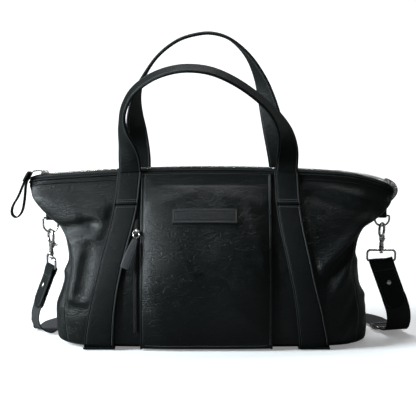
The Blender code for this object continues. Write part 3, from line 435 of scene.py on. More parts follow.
shellFinish = leatherFinish("shellLeather", (0.0013, 0.0024, 0.0023), (0.0028, 0.0044, 0.0044), (0.28, 0.37),
                            specular=0.33)
strapFinish = leatherFinish("strapLeather", (0.0014, 0.0026, 0.0025), (0.0030, 0.0046, 0.0046), (0.42, 0.52),
                            cell=0.0009,
                            specular=0.21)
pullFinish = leatherFinish("greyTrimLeather", (0.050, 0.052, 0.056), (0.080, 0.083, 0.088), (0.50, 0.60),
                           cell=0.0009,
                           crease=0.0001, specular=0.35)
trimFinish = leatherFinish("trimLeather", (0.0060, 0.0068, 0.0072), (0.0105, 0.0115, 0.0120), (0.46, 0.56),
                           cell=0.0009,
                           crease=0.0001, specular=0.32)
nickelFinish = metalFinish("nickelPlate", (0.72, 0.69, 0.67), 0.19)
webFinish = weaveFinish("ribbedWebbing", (0.006, 0.006, 0.007), (0.020, 0.020, 0.022), (0.0021, 0.0012),
                        0.00022, 0.80)
tapeFinish = weaveFinish("zipTapeWeave", (0.0015, 0.0015, 0.002), (0.005, 0.005, 0.0055), (0.0009, 0.0009),
                         0.00010, 0.85,
                         "Object", 0.0)
liningFinish = weaveFinish("liningCloth", (0.15, 0.15, 0.16), (0.24, 0.24, 0.25), (0.0012, 0.0012), 0.00010,
                           0.85,
                           "Object")
threadFinish = plainFinish("sewingThread", (0.070, 0.076, 0.078), (0.140, 0.148, 0.152), 0.50, 3000.0,
                           0.00006)
# near black: painted shade of the recess between the pocket's edge and the strap, where the pocket zip's
# teeth sit
coilFinish = plainFinish("zipCoilPaintedShade", (0.002, 0.002, 0.0025), (0.005, 0.005, 0.0055), 0.40, 1200.0, 0.00002)
boardFinish = plainFinish("baseBoardFibre", (0.035, 0.035, 0.035), (0.06, 0.06, 0.058), 0.75, 900.0, 0.0001)
print("materials ready")


# the bag's shape
bag = {
    "top": 0.271, "trackRadius": 3.0, "corner": 4.5, "leather": 0.0025, "wallFoot": 0.0036,
       "wallHead": 0.2620,
    "halfWidth": [(0.0, 0.234), (0.012, 0.240), (0.055, 0.244), (0.09, 0.239), (0.13, 0.233), (0.165, 0.235),
                  (0.187, 0.242), (0.203, 0.258), (0.22, 0.272), (0.24, 0.281), (0.256, 0.2835),
                  (0.271, 0.284)],
    "halfDepth": [(0.0, 0.088), (0.012, 0.094), (0.05, 0.097), (0.09, 0.095), (0.12, 0.089), (0.15, 0.078),
                  (0.18, 0.063), (0.21, 0.045), (0.235, 0.029), (0.255, 0.017), (0.271, 0.011)],
    "gussetFold": [(0.0, 0.0), (0.05, 0.003), (0.11, 0.010), (0.16, 0.014), (0.21, 0.0145), (0.235, 0.006),
                   (0.256, 0.0), (0.271, 0.0)],
    "seamAngle": [(0.0, 32.0), (0.12, 32.0), (0.17, 27.0), (0.21, 18.0), (0.245, 9.0), (0.271, 5.0)],
    "rows": 105, "columns": 215, "gussetColumns": 71,
    "seamRoll": 0.0016, "seamWidth": 0.0045, "seamAir": 0.20,
}
pocket = {"x": (-0.1095, 0.0925), "h": (0.0030, 0.2420), "bulge": 0.013, "gap": 0.0004}
straps = {
    "lines": {"left": [(0.0, -0.1718), (0.05, -0.1677), (0.13, -0.1525), (0.217, -0.1315), (0.27, -0.1265)],
              "right": [(0.0, 0.1555), (0.05, 0.1495), (0.13, 0.1330), (0.217, 0.1170), (0.27, 0.1150)]},
    "footWidth": 0.0485, "topWidth": 0.0375, "thickness": 0.0030, "gap": 0.0009, "seamHeight": 0.2168,
}


def topEdge(x):
    # height of the closed mouth: a shallow circle arc, dropping by a square law past each wing's root
    return (bag["top"] - bag["trackRadius"] + np.sqrt(bag["trackRadius"] ** 2 - x * x)
            - 1.6 * np.clip(x - 0.185, 0, None) ** 2 - 7.0 * np.clip(-x - 0.262, 0, None) ** 2)


def seamDirection(h):
    # the plan direction, in the squared-up ellipse, of the seam between a panel and an end gusset
    seam = np.radians(smoothTable(bag["seamAngle"], h) + bag["seamAir"])
    return np.degrees(np.arctan(np.tan(seam) ** (2 / bag["corner"])))


def wallPoint(direction, h, inset=0.0):
    # a point of the wall: the superellipse |x/a|^n + |y/b|^n = 1 at height h, met in a plan direction in
    # degrees, its end pushed in by the gusset's fold
    n = bag["corner"]
    a, b = smoothTable(bag["halfWidth"], h) - inset, smoothTable(bag["halfDepth"], h) - inset
    c, s = np.cos(np.radians(direction)), np.sin(np.radians(direction))
    size = (np.abs(c) ** n + np.abs(s) ** n) ** (1 / n)
    x, y = a * c / size, b * s / size
    angle = np.degrees(np.arctan2(np.abs(s) ** (n / 2), np.abs(c) ** (n / 2)))
    fromEnd = angle / smoothTable(bag["seamAngle"], h)
    x = x - np.sign(x) * smoothTable(bag["gussetFold"], h) * np.clip(1 - fromEnd ** 2, 0, None)
    return np.stack([x, y, h * topEdge(x) / bag["top"]], -1)


def frontPoint(x, h, out=0.0):
    # the front wall at x and height h, moved along its own lean by out
    a, b = smoothTable(bag["halfWidth"], h), smoothTable(bag["halfDepth"], h)
    y = -b * (1 - np.clip(np.abs(x) / a, 0, 0.9999) ** bag["corner"]) ** (1 / bag["corner"])
    high, low = np.clip(h + 0.004, 0, bag["top"]), np.clip(h - 0.004, 0, bag["top"])
    lean = (smoothTable(bag["halfDepth"], high) - smoothTable(bag["halfDepth"], low)) / (high - low)
    size = np.sqrt(1 + lean ** 2)
    return np.stack([x + 0 * h, y - out / size, h * topEdge(x) / bag["top"] - out * lean / size], -1)


def foldField(u, v, folds):
    # soft folds: each runs from one point to another, a ridge or valley with a bell-shaped cross-section
    # that fades out past its two ends; sharp is its steeper side
    total = np.zeros(np.broadcast(u, v).shape)
    for (u0, v0), (u1, v1), width, height, lopsided in folds:
        run = math.hypot(u1 - u0, v1 - v0)
        along = ((u - u0) * (u1 - u0) + (v - v0) * (v1 - v0)) / run ** 2
        off = ((u - u0) * (v1 - v0) - (v - v0) * (u1 - u0)) / run
        wide = width * (1 + lopsided * np.tanh(off / width))
        past = np.clip(np.maximum(-along, along - 1), 0, None) * run
        total = total + height * bump(off / wide) * bump(past / (1.6 * width))
    return total


def unevenness(u, v, height, seed):
    # slow waves of a hide that has been carried and put down: five sines across one another
    total = 0
    for k in range(5):
        turn, pitch = seed * 1.7 + 2.4 * k, 0.16 / (1 + 0.55 * k)
        phase = (u * math.cos(turn) + v * math.sin(turn)) * 2 * math.pi / pitch + seed + 1.3 * k
        total = total + np.sin(phase) / (1 + k)
    return height * total / 2.3


def strapCover(x, h, pocketToo):
    # 1 where a strap or the front pocket lies on the wall and holds it flat, 0 well clear of them
    low, high = pocket["x"]
    cover = ramp(x, low - 0.014, low) * (1 - ramp(x, high, high + 0.014)) if pocketToo else np.zeros_like(x)
    half = strapWidth(h) / 2
    for line in straps["lines"].values():
        cover = np.maximum(cover, 1 - ramp(np.abs(x - smoothTable(line, h)), half, half + 0.013))
    return cover


def strapWidth(h):
    return straps["footWidth"] + (straps["topWidth"] - straps["footWidth"]) * np.minimum(1.0, h / 0.10)


# panels
# folds, each (start, end, half width, height, lopsidedness), front and rear in (x, z), ends in (y, z)
panelFolds = {
    "front": [

        ((-0.262, 0.222), (-0.178, 0.206), 0.017, 0.0052, 0.2),
        ((-0.225, 0.180), (-0.190, 0.186), 0.010, -0.0040, 0.3),
        ((-0.193, 0.192), (-0.186, 0.189), 0.007, -0.0022, 0),
        ((-0.222, 0.158), (-0.180, 0.172), 0.009, 0.0026, 0),
        ((-0.204, 0.140), (-0.214, 0.094), 0.0110, 0.0026, 0.3),
        ((-0.188, 0.132), (-0.196, 0.090), 0.0110, -0.0024, 0),
        ((-0.216, 0.078), (-0.186, 0.072), 0.0075, 0.0020, -0.3),
        ((-0.214, 0.064), (-0.184, 0.060), 0.0070, -0.0014, 0.3),
        ((0.240, 0.190), (0.170, 0.128), 0.0085, 0.0052, 0.4),
        ((0.240, 0.176), (0.180, 0.112), 0.0075, -0.0044, 0.2),
        ((0.234, 0.158), (0.190, 0.096), 0.0080, 0.0038, -0.3),
        ((0.150, 0.252), (0.222, 0.228), 0.012, 0.0050, 0.3),
        ((0.160, 0.230), (0.238, 0.206), 0.011, -0.0040, 0),
        ((0.206, 0.016), (0.240, 0.062), 0.0080, 0.0048, 0.4),
        ((0.200, 0.042), (0.222, 0.078), 0.0085, -0.0034, 0),
        ((0.176, 0.070), (0.160, 0.030), 0.0090, 0.0018, 0)
    ],
    "rear": [

        ((-0.228, 0.180), (-0.184, 0.128), 0.009, 0.0044, 0.3),
        ((-0.232, 0.150), (-0.196, 0.086), 0.008, -0.0032, 0),
        ((-0.215, 0.070), (-0.180, 0.040), 0.009, 0.0030, 0),
        ((-0.240, 0.235), (-0.168, 0.214), 0.011, 0.0036, 0.2),
        ((0.226, 0.176), (0.180, 0.120), 0.009, 0.0042, -0.2),
        ((0.238, 0.220), (0.170, 0.236), 0.011, 0.0034, 0),
        ((0.236, 0.120), (0.196, 0.060), 0.0085, 0.0034, 0.3),
        ((0.205, 0.105), (0.175, 0.058), 0.008, -0.0026, 0),
        ((-0.080, 0.205), (0.030, 0.190), 0.014, 0.0026, 0),
        ((-0.020, 0.170), (0.085, 0.158), 0.013, -0.0020, 0),
        ((-0.085, 0.060), (0.010, 0.040), 0.013, 0.0020, 0),
        ((0.020, 0.095), (0.090, 0.070), 0.012, 0.0018, 0)
    ],
    "left": [

        ((-0.050, 0.165), (0.030, 0.125), 0.008, -0.0050, 0.2),
        ((-0.060, 0.120), (0.045, 0.092), 0.010, 0.0046, 0),
        ((-0.070, 0.066), (0.036, 0.060), 0.014, 0.0018, -0.2),
        ((0.010, 0.150), (0.052, 0.075), 0.008, 0.0030, 0)
    ],
    "right": [

        ((-0.040, 0.172), (0.045, 0.132), 0.008, -0.0048, 0),
        ((-0.055, 0.135), (0.020, 0.095), 0.010, 0.0044, 0.2),
        ((-0.062, 0.082), (0.050, 0.060), 0.008, 0.0034, 0),
        ((-0.060, 0.040), (-0.010, 0.066), 0.007, -0.0030, 0)
    ],
}


def wallSurface(side, share, h, inset=0.0):
    # one panel of the shell: its share across and height give the wall point, which curls under at the
    # foot, rolls in at the seams, and rides up and down over the folds and the hide's unevenness
    seam = seamDirection(h)
    low, high = {"front": (seam - 180, -seam), "rear": (seam, 180 - seam), "right": (-seam, seam),
                 "left": (180 - seam, 180 + seam)}[side]
    direction = low + share * (high - low)
    curl = 0.0052 * np.clip(1 - (h - bag["wallFoot"]) / 0.0085, 0, 1) ** 2.2
    base = wallPoint(direction, h, inset + curl)
    a, b = smoothTable(bag["halfWidth"], h), smoothTable(bag["halfDepth"], h)
    outward = unit(np.stack([np.sign(base[..., 0]) * np.abs(base[..., 0] / a) ** 3.5 / a,
                             np.sign(base[..., 1]) * np.abs(base[..., 1] / b) ** 3.5 / b,
                             0 * base[..., 0]], -1))
    across = (high - low) * np.pi / 180 * (0.22 if side in ("front", "rear") else 0.10)
    toSeam = np.minimum(share, 1 - share) * np.abs(across)
    roll = bag["seamRoll"] * bump(toSeam / bag["seamWidth"])
    x, y, z = np.moveaxis(base, -1, 0)
    if side in ("front", "rear"):
        folds = foldField(x, z, panelFolds[side]) + unevenness(x, z, 0.0010, 1.0 if side == "front" else 4.2)
        folds = folds * (1 - strapCover(x, h, side == "front"))
    else:
        folds = foldField(y, z, panelFolds[side]) + unevenness(y, z, 0.0010, 2.3 if side == "left" else 6.1)
    folds = folds * ramp(toSeam, 0.0, 0.016) * ramp(h, 0.004, 0.03) * (1 - ramp(h, 0.236, 0.258))
    return base + outward * (folds - roll)[..., None]


def lineOn(surface, u, v, lift=0.0, stepU=0.002, stepV=0.0006):
    # the points of surface(u, v) along a line on it, raised by lift, and its normals there
    place = surface(u, v)
    alongU = surface(u + stepU, v) - surface(u - stepU, v)
    alongV = surface(u, v + stepV) - surface(u, v - stepV)
    normal = unit(np.cross(alongU, alongV))
    middle = np.array([0.0, 0.0, 0.10])
    flip = np.sign(np.sum(normal * (place - middle) * [1, 1, 0.0], axis=-1, keepdims=True))
    normal = normal * np.where(flip == 0, 1, flip)
    return place + normal * lift, normal


for side, node, body in (("front", "front_panel", (0, -1, 0)), ("rear", "rear_panel", (0, 1, 0)),
                         ("left", "left_gusset", (-1, 0, 0)), ("right", "right_gusset", (1, 0, 0))):
    heights = bag["wallFoot"] + (bag["wallHead"] - bag["wallFoot"]) * edgeShares(bag["rows"], 0.27, 0.006)
    count = bag["columns"] if side in ("front", "rear") else bag["gussetColumns"]
    shares = edgeShares(count, 0.45 if side in ("front", "rear") else 0.17, 0.004)
    grid = wallSurface(side, *np.meshgrid(shares, heights))
    points, faces, _ = slab(grid, bag["leather"], body, 0.0011)
    name = {"front": "frontPanel", "rear": "rearPanel", "left": "leftGusset", "right": "rightGusset"}[side]
    makePiece(name, points, faces, shellFinish, "bag", (node,))
print("shell panels ready")

# the welts in the four upright seams, and a row of stitches beside each on the front and back panels
seams = {"weltRadius": 0.0016, "stitchIn": 0.0060}
heights = np.linspace(0.006, 0.2600, 150)
for side, share, name in (("front", 0.0, "weltFrontLeft"), ("front", 1.0, "weltFrontRight"),
                          ("rear", 1.0, "weltRearLeft"), ("rear", 0.0, "weltRearRight")):
    path, normals = lineOn(lambda u, v, s=side: wallSurface(s, np.clip(u, 0, 1), v), share + 0 * heights,
                           heights, -0.0009)
    points, faces, caps = sweep(path, normals, roundSection(seams["weltRadius"], 12))
    makePiece(name, points, faces, shellFinish, "bag", caps=caps)
lines = []
for side in ("front", "rear"):
    for end in (0, 1):
        inward = seams["stitchIn"] / 0.45
        share = (inward if end == 0 else 1 - inward) + 0 * heights
        lines.append(stitchLine(*lineOn(lambda u, v, s=side: wallSurface(s, u, v), share, heights, 0.0001)))
stitchPiece("seamStitches", lines, "bag")

# the base: a plate with a rounded rim, sunk a little in the middle between the straps
base = {"low": 0.0034, "high": 0.0066, "inset": 0.0052, "rings": 26, "around": 160}
around = np.linspace(0, 360, base["around"], endpoint=False)
reach = np.sin(np.linspace(0, math.pi / 2, base["rings"]))
rim = wallPoint(around, 0.004 + 0 * around, base["inset"])
flatRim = rim * [1, 1, 0]
rounded = np.sqrt(np.clip(1 - np.clip((reach - 0.985) / 0.015, 0, 1) ** 2, 0, 1))
middle, half = (base["low"] + base["high"]) / 2, (base["high"] - base["low"]) / 2
ring = flatRim[None] * reach[:, None, None]
upright = np.array([0, 0, 1])
under = ring + upright * (middle - half * rounded + 0.0006 * bump(reach * 1.6))[:, None, None]
over = ring + upright * (middle + half * rounded)[:, None, None]
quads = gridFaces(base["rings"], base["around"], loop=True)
points = np.concatenate([under.reshape(-1, 3), over.reshape(-1, 3)])
makePiece("basePlate", points, np.concatenate([quads, quads[:, ::-1] + under.size // 3]), shellFinish, "bag",
          ("base_panel",))


# carrying straps
def pad(surface, shares, heights, thickness, outward, crown=0.0006, groove=0.0008, inset=0.0036, width=0.04):
    # a leather strip on a surface: crowned along its middle, with a stitching groove inside each edge
    u, h = np.meshgrid(shares, heights)
    edge = np.minimum(u, 1 - u) * width
    lift = crown * (1 - (2 * u - 1) ** 2) - groove * bump((edge - inset) / 0.0009)
    lift = lift + 0.0006 * bump((edge - 0.0016) / 0.0012)
    grid = surface(u, h, straps["gap"] + thickness + lift)
    return slab(grid, thickness, outward, thickness / 2)[:2]


stitchRows, footRows = [], []
straps.update({"low": 0.0062, "footTop": 0.2662, "footExtra": 0.0009, "edge": 0.0034})
for name, line in straps["lines"].items():
    for face, facing in (("front", -1), ("rear", 1)):
        # the wall under a strap: share across the strap and height give a point
        surface = (lambda u, h, out=0.0, line=line, facing=facing:
                   frontPoint(smoothTable(line, h) + (u - 0.5) * strapWidth(h), h, out) * [1, -facing, 1])
        shares = edgeShares(41, 0.040, 0.0060, 10)
        low, seam, top = straps["low"], straps["seamHeight"], straps["footTop"]
        heights = low + (seam - 0.0002 - low) * edgeShares(90, 0.21, 0.003)
        points, faces = pad(surface, shares, heights, straps["thickness"], (0, facing, 0))
        makePiece(f"{face}Strap_{name}", points, faces, strapFinish, "bag",
                  (f"{face}_strap_{name}",))
        heights = seam + 0.0002 + (top - seam) * edgeShares(26, 0.045, 0.003)
        points, faces = pad(surface, shares, heights, straps["thickness"] + straps["footExtra"],
                            (0, facing, 0))
        makePiece(f"{face}HandleFoot_{name}", points, faces, strapFinish, "bag",
                  (f"{face}_handle_foot_{name}",))
        # stitches up both edges, on the strap and on the foot, then three rows across at the seam
        thick, extra = straps["gap"] + straps["thickness"], straps["footExtra"]

        def sewn(u, h, out, surface=surface):
            return stitchLine(*lineOn(lambda u, h: surface(u, h, out), u, h))

        for share in (straps["edge"] / 0.040, 1 - straps["edge"] / 0.040):
            run = np.linspace(0.010, seam - 0.003, 160)
            stitchRows.append(sewn(share + 0 * run, run, thick))
            run = np.linspace(seam + 0.003, top - 0.001, 50)
            stitchRows.append(sewn(share + 0 * run, run, thick + extra))
        run = np.linspace(0.10, 0.90, 40)
        for level, rise in ((0.0036, extra), (0.0062, extra), (-0.0038, 0.0)):
            footRows.append(sewn(run, seam + level + 0 * run, thick + rise + 0.0006))
    # the stretch under the base, a flat strip that turns up a little at both ends
    middle = line[0][1]
    along, shares = np.linspace(-0.0935, 0.0935, 90), edgeShares(25, 0.045, 0.0022)
    u, y = np.meshgrid(shares, along)
    grid = np.stack([middle + (u - 0.5) * straps["footWidth"], y,
                     0.0001 + 0.0034 * np.clip((np.abs(y) - 0.0855) / 0.008, 0, 1) ** 2], -1)
    points, faces, _ = slab(grid, straps["thickness"] - 0.0002, (0, 0, -1), straps["thickness"] / 2)
    makePiece(f"baseStrap_{name}", points, faces, strapFinish, "bag",
              (f"base_strap_{name}",))
    for share in (-0.5, 0.5):
        run = np.linspace(-0.085, 0.085, 60)
        edge = np.stack([middle + share * (straps["footWidth"] - 2 * straps["edge"]) + 0 * run, run,
                         0.0001 + 0 * run], -1)
        stitchRows.append(stitchLine(edge, np.tile([0.0, 0, -1], (60, 1)), radius=0.0002))
stitchPiece("strapStitches", stitchRows, "bag")
stitchPiece("handleFootStitches", footRows, "bag")
print("straps ready")


# carrying handles
handles = {
    "front": {"facing": -1, "tilt": 0.80, "twist": (0.24, 0.30), "points": [
        (-0.1262, -0.0165, 0.2640), (-0.1268, -0.0185, 0.2800), (-0.1290, -0.0255, 0.3030),
        (-0.1345, -0.0400, 0.3330), (-0.1330, -0.0560, 0.3620), (-0.1185, -0.0730, 0.3900),
        (-0.0930, -0.0870, 0.4110), (-0.0640, -0.0950, 0.4230), (-0.0340, -0.0980, 0.4270),
        (-0.0010, -0.0960, 0.4225), (0.0320, -0.0890, 0.4080), (0.0640, -0.0780, 0.3860),
        (0.0910, -0.0630, 0.3600), (0.1085, -0.0470, 0.3310), (0.1155, -0.0320, 0.3030),
        (0.1160, -0.0200, 0.2800), (0.1152, -0.0165, 0.2640)
    ]},
    "rear": {"facing": 1, "tilt": 1.0, "twist": (0.36, 0.42), "points": [
        (-0.1130, 0.0165, 0.2660), (-0.1135, 0.0190, 0.2850), (-0.1170, 0.0235, 0.3150),
        (-0.1200, 0.0290, 0.3480), (-0.1170, 0.0350, 0.3800), (-0.1060, 0.0400, 0.4090),
        (-0.0840, 0.0450, 0.4400), (-0.0540, 0.0485, 0.4630), (-0.0230, 0.0500, 0.4730),
        (0.0040, 0.0500, 0.4740), (0.0310, 0.0480, 0.4640), (0.0570, 0.0440, 0.4390),
        (0.0760, 0.0385, 0.4040), (0.0880, 0.0325, 0.3650), (0.0970, 0.0260, 0.3250),
        (0.1040, 0.0195, 0.2890), (0.1075, 0.0165, 0.2662)
    ]},
    "width": 0.0350, "thickness": 0.0046, "count": 220, "inset": 0.0034,
}


def handlePath(handle, t):
    # the handle's middle line and width direction: its face lies flat at the feet and turns to face out
    # from the arch as the share rises smoothly over the twist's length
    path = curveThrough(handle["points"], t)
    tangent = unit(np.gradient(path, axis=0))
    near = np.where(t < 0.5, t / handle["twist"][0], (1 - t) / handle["twist"][1])
    share = (handle["tilt"] * ramp(near, 0, 1))[:, None]
    flat = np.array([0.0, handle["facing"], 0.0])
    radial = np.stack([-tangent[:, 2], 0 * t, tangent[:, 0]], -1)
    normal = unit(flat * (1 - share) + radial * share)
    side = np.cross(tangent, normal)
    return path, side, np.cross(side, tangent)


for name in ("front", "rear"):
    handle = handles[name]
    t = np.linspace(0, 1, handles["count"])
    path, side, normal = handlePath(handle, t)
    profile = strapSection(handles["width"], handles["thickness"], crown=0.0006, inset=handles["inset"])
    if np.sum(np.cross(unit(np.gradient(path, axis=0)), side) * normal) < 0:
        profile = profile * [1, -1]
    points, faces, caps = sweep(path, side, profile)
    makePiece(f"{name}Handle", points, faces, strapFinish, f"{name}_handle",
              (f"{name}_handle",), caps)
    rows = []
    for edge in (-1, 1):
        row = path + unit(side) * edge * (handles["width"] / 2 - handles["inset"])
        for face in (1, -1):
            up = unit(normal) * face
            rows.append(stitchLine(row + up * (handles["thickness"] / 2 - 0.0001), up))
    stitchPiece(f"{name}HandleStitches", rows, f"{name}_handle")
print("handles ready")


# the mouth: facings, welts, tapes and teeth
mouth = {"facing": (0.2624, 0.2696), "thickness": 0.0027, "end": 18.7, "weltRadius": 0.0013,
         "tape": (0.0034, 0.0010),
         "pitch": 0.0032, "teethX": (-0.2690, 0.2712)}


def mouthDepth(x, inset):
    # half the mouth's width at x: the superellipse of the top edge, shrunk by inset
    a, b = bag["halfWidth"][-1][1] - inset, bag["halfDepth"][-1][1] - inset
    return b * (1 - np.clip(np.abs(x) / a, 0, 1) ** bag["corner"]) ** (1 / bag["corner"])


def mouthLine(side, share, h, out=0.0):
    end = mouth["end"]
    low, high = (end - 180, -end) if side == "front" else (end, 180 - end)
    return wallPoint(low + share * (high - low), h, -out)


rows = []
for side, outward in (("front", -1), ("rear", 1)):
    heights = mouth["facing"][0] + (mouth["facing"][1] - mouth["facing"][0]) * edgeShares(12, 0.0088, 0.0013)
    shares = edgeShares(260, 0.58, 0.002)
    grid = mouthLine(side, *np.meshgrid(shares, heights))
    bow = np.sin(np.linspace(0, math.pi, len(heights)))[:, None, None]
    grid = grid + np.array([0, outward, 0]) * 0.0007 * bow
    points, faces, _ = slab(grid, mouth["thickness"], (0, outward, 0), 0.0013)
    makePiece(f"mouthFacing_{side}", points, faces, strapFinish, "bag",
              (f"zip_facing_{side}",))
    run = np.linspace(0, 1, 260)
    welt = mouthLine(side, run, 0.2622 + 0 * run, 0.0004)
    piping = wallSurface(side, np.clip(run, 0.004, 0.996), 0.2546 + 0 * run)
    for name, path, radius in (("mouthWelt", welt, mouth["weltRadius"]), ("mouthPiping", piping, 0.0011)):
        points, faces, caps = sweep(path, np.tile([0.0, 0, 1], (260, 1)), roundSection(radius, 12))
        makePiece(f"{name}_{side}", points, faces, shellFinish, "bag", caps=caps)
    path = mouthLine(side, run, 0.2672 + 0 * run, 0.0005)
    rows.append(stitchLine(path, np.tile([0.0, outward, 0], (260, 1))))
    # the tape, a strip between the teeth and the facing that dips a little towards the teeth
    x = np.linspace(-0.2615, 0.2575, 240)
    across = np.linspace(0, 1, 9)
    far = mouthDepth(x, 0.0028) - 0.0004
    y = outward * (mouth["tape"][0] + (far - mouth["tape"][0])[:, None] * across[None])
    z = topEdge(x)[:, None] - 0.0022 - 0.0004 * across[None] ** 2
    grid = np.stack([x[:, None] + 0 * across[None], y, z], -1)
    points, faces, _ = slab(grid, mouth["tape"][1], (0, 0, 1), 0.0004)
    makePiece(f"mouthTape_{side}", points, faces, tapeFinish, "bag", (f"zip_tape_{side}",))
stitchPiece("mouthStitches", rows, "bag")

toothShape = np.array([(0.0009, -0.0006), (0.0009, 0.0006), (0.0002, 0.0012), (-0.0008, 0.0009),
                       (-0.0014, 0.0012),
                       (-0.0031, 0.0014), (-0.0031, -0.0014), (-0.0014, -0.0012), (-0.0008, -0.0009),
                       (0.0002, -0.0012)])


def teethAlong(path, side, pitch, size=1.0):
    # two facing rows of teeth along a path, half a pitch apart; each is its outline (across, up) given a
    # thickness, with both faces drawn in a little
    run = distances(path)
    tangent, across, up = frames(path, side)
    parts = []
    for hand, offset in ((1, 0.25), (-1, 0.75)):
        at = (np.arange(int(run[-1] // pitch)) + offset) * pitch
        centre, along = lookUp(path, run, at), unit(lookUp(tangent, run, at))
        wide, high = unit(lookUp(across, run, at)) * hand, unit(lookUp(up, run, at))
        half = pitch * 0.215
        depth = np.array([-half, -half * 0.7, half * 0.7, half])
        shrink = np.array([0.78, 1.0, 1.0, 0.78])
        shape = (toothShape - [-0.0011, 0]) * size
        local = shape[None] * shrink[:, None, None] + np.array([-0.0011, 0]) * size
        points = (centre[:, None, None] + along[:, None, None] * depth[None, :, None, None]
                  + wide[:, None, None] * local[None, ..., :1] + high[:, None, None] * local[None, ..., 1:])
        one = gridFaces(4, 10, loop=True)
        quads = (one[None] + np.arange(len(at))[:, None, None] * 40).reshape(-1, 4)
        ends = np.array([np.arange(10)[::-1], 30 + np.arange(10)])
        caps = (ends[None] + np.arange(len(at))[:, None, None] * 40).reshape(-1, 10)
        parts.append((points.reshape(-1, 3), quads, list(caps)))
    return joinMeshes(parts)


# the teeth lie in the middle of the mouth as far as the slider runs, then roll over its front edge
x = np.linspace(*mouth["teethX"], 400)
lean = ramp(x, 0.185, 0.245)
path = np.stack([x, -0.0122 * lean, topEdge(x) - 0.0018 + 0.0034 * lean], -1)
side = np.stack([0 * x, np.cos(lean * 0.95), np.sin(lean * 0.95)], -1)
points, faces, caps = teethAlong(path, side, mouth["pitch"])
makePiece("mouthTeeth", points, faces, nickelFinish, "bag", ("zip_teeth",), caps)

# the zip's closed end: a leather return that carries the last teeth down over the right wing tip
zipEnd = {"path": [(0.2680, -0.0106), (0.2755, -0.0108), (0.2815, -0.0100), (0.2848, -0.0082),
                   (0.2852, -0.0060),
                   (0.2822, -0.0045), (0.2770, -0.0035), (0.2715, -0.0030)],
          "z": [0.2492, 0.2460, 0.2415, 0.2360, 0.2300, 0.2240, 0.2185, 0.2140], "width": 0.0130,
          "thickness": 0.0020}
run = np.linspace(0, 1, 80)
path = curveThrough([(x, y, z) for (x, y), z in zip(zipEnd["path"], zipEnd["z"])], run)
# out = the path's direction turned a quarter in its plane; the width leans from y towards out
out = unit(np.gradient(path, axis=0))
out = np.stack([-out[:, 2], 0 * run, out[:, 0]], -1)
side = out * math.sin(0.95) + np.array([0, math.cos(0.95), 0])
profile = strapSection(zipEnd["width"], zipEnd["thickness"], 0.0002, 0.0003, 0.0020, 10)
tangent, across, up = frames(path, side)
up = up * np.sign(np.sum(up * (out * 0.6 - np.array([0, 0.8, 0])), axis=1, keepdims=True))
points, faces, caps = sweep(path - up * 0.0016, side, profile)
makePiece("zipEndReturn", points, faces, strapFinish, "bag", ("zip_end_right",), caps)
points, faces, caps = teethAlong(path, side, mouth["pitch"], 1.15)
makePiece("zipEndTeeth", points, faces, nickelFinish, "bag", caps=caps)
print("mouth ready")


# small metal parts
def lathe(profile, centre, axis=(0, 0, 1), around=28):
    # (radius, height) points turned about an axis through centre
    axis = unit(np.asarray(axis, float))
    first = unit(np.cross(axis, [0.31, 0.95, 0.02] if abs(axis[2]) > 0.5 else [0, 0, 1.0]))
    second = np.cross(axis, first)
    a = np.linspace(0, 2 * math.pi, around, endpoint=False)
    radius, height = np.asarray(profile, float).T
    spoke = np.cos(a)[:, None] * first + np.sin(a)[:, None] * second
    points = np.asarray(centre, float) + height[:, None, None] * axis + radius[:, None, None] * spoke
    return points.reshape(-1, 3), gridFaces(len(radius), around, loop=True), endCaps(len(radius), around)


def plate(outline, low, high, bevel=0.0003):
    # a flat outline of (u, v) points given a thickness, its edges cut back by bevel
    outline = np.asarray(outline, float)
    tangent = unit(np.roll(outline, -1, 0) - np.roll(outline, 1, 0))
    normal = np.stack([tangent[:, 1], -tangent[:, 0]], -1)
    area = np.sum(outline[:, 0] * np.roll(outline[:, 1], -1) - np.roll(outline[:, 0], -1) * outline[:, 1])
    normal = normal * np.sign(area)
    levels = [(low, bevel), (low + bevel * 0.35, bevel * 0.3), (low + bevel, 0), (high - bevel, 0),
              (high - bevel * 0.35, bevel * 0.3), (high, bevel)]
    count = len(outline)
    points = np.concatenate([np.concatenate([outline - normal * back, np.full((count, 1), w)], 1)
                             for w, back in levels])
    return points, gridFaces(6, count, loop=True), endCaps(6, count)


def closedCurve(points, count):
    # Catmull-Rom curve round a closed list of points
    p = np.asarray(points, float)
    s = np.linspace(0, len(p), count, endpoint=False)
    i = s.astype(int)
    u = (s - i)[:, None]
    a, b, before, after = p[i], p[(i + 1) % len(p)], p[i - 1], p[(i + 2) % len(p)]
    return splineStep(before, a, b, after, u)


def arc(cu, cv, radius, start, stop, count=12):
    a = np.radians(np.linspace(start, stop, count))
    return np.stack([cu + radius * np.cos(a), cv + radius * np.sin(a)], -1)


def placed(part, origin, u, v, w):
    # a part drawn in (u, v, w) put at origin with those three directions
    points = np.asarray(part[0], float).reshape(-1, 3)
    return (np.asarray(origin, float) + points @ np.array([u, v, w], float), part[1],
            part[2] if len(part) > 2 else [])


def metalPiece(name, parts, body, stands, sharp=40):
    points, quads, caps = joinMeshes(parts)
    return makePiece(name, points, quads, nickelFinish, body, stands, caps, sharp=sharp)


def wirePart(path, side, radius, count=14, closed=False, flat=1.0, scale=None):
    return sweep(path, side, roundSection(radius, count, flat), scale, closed)


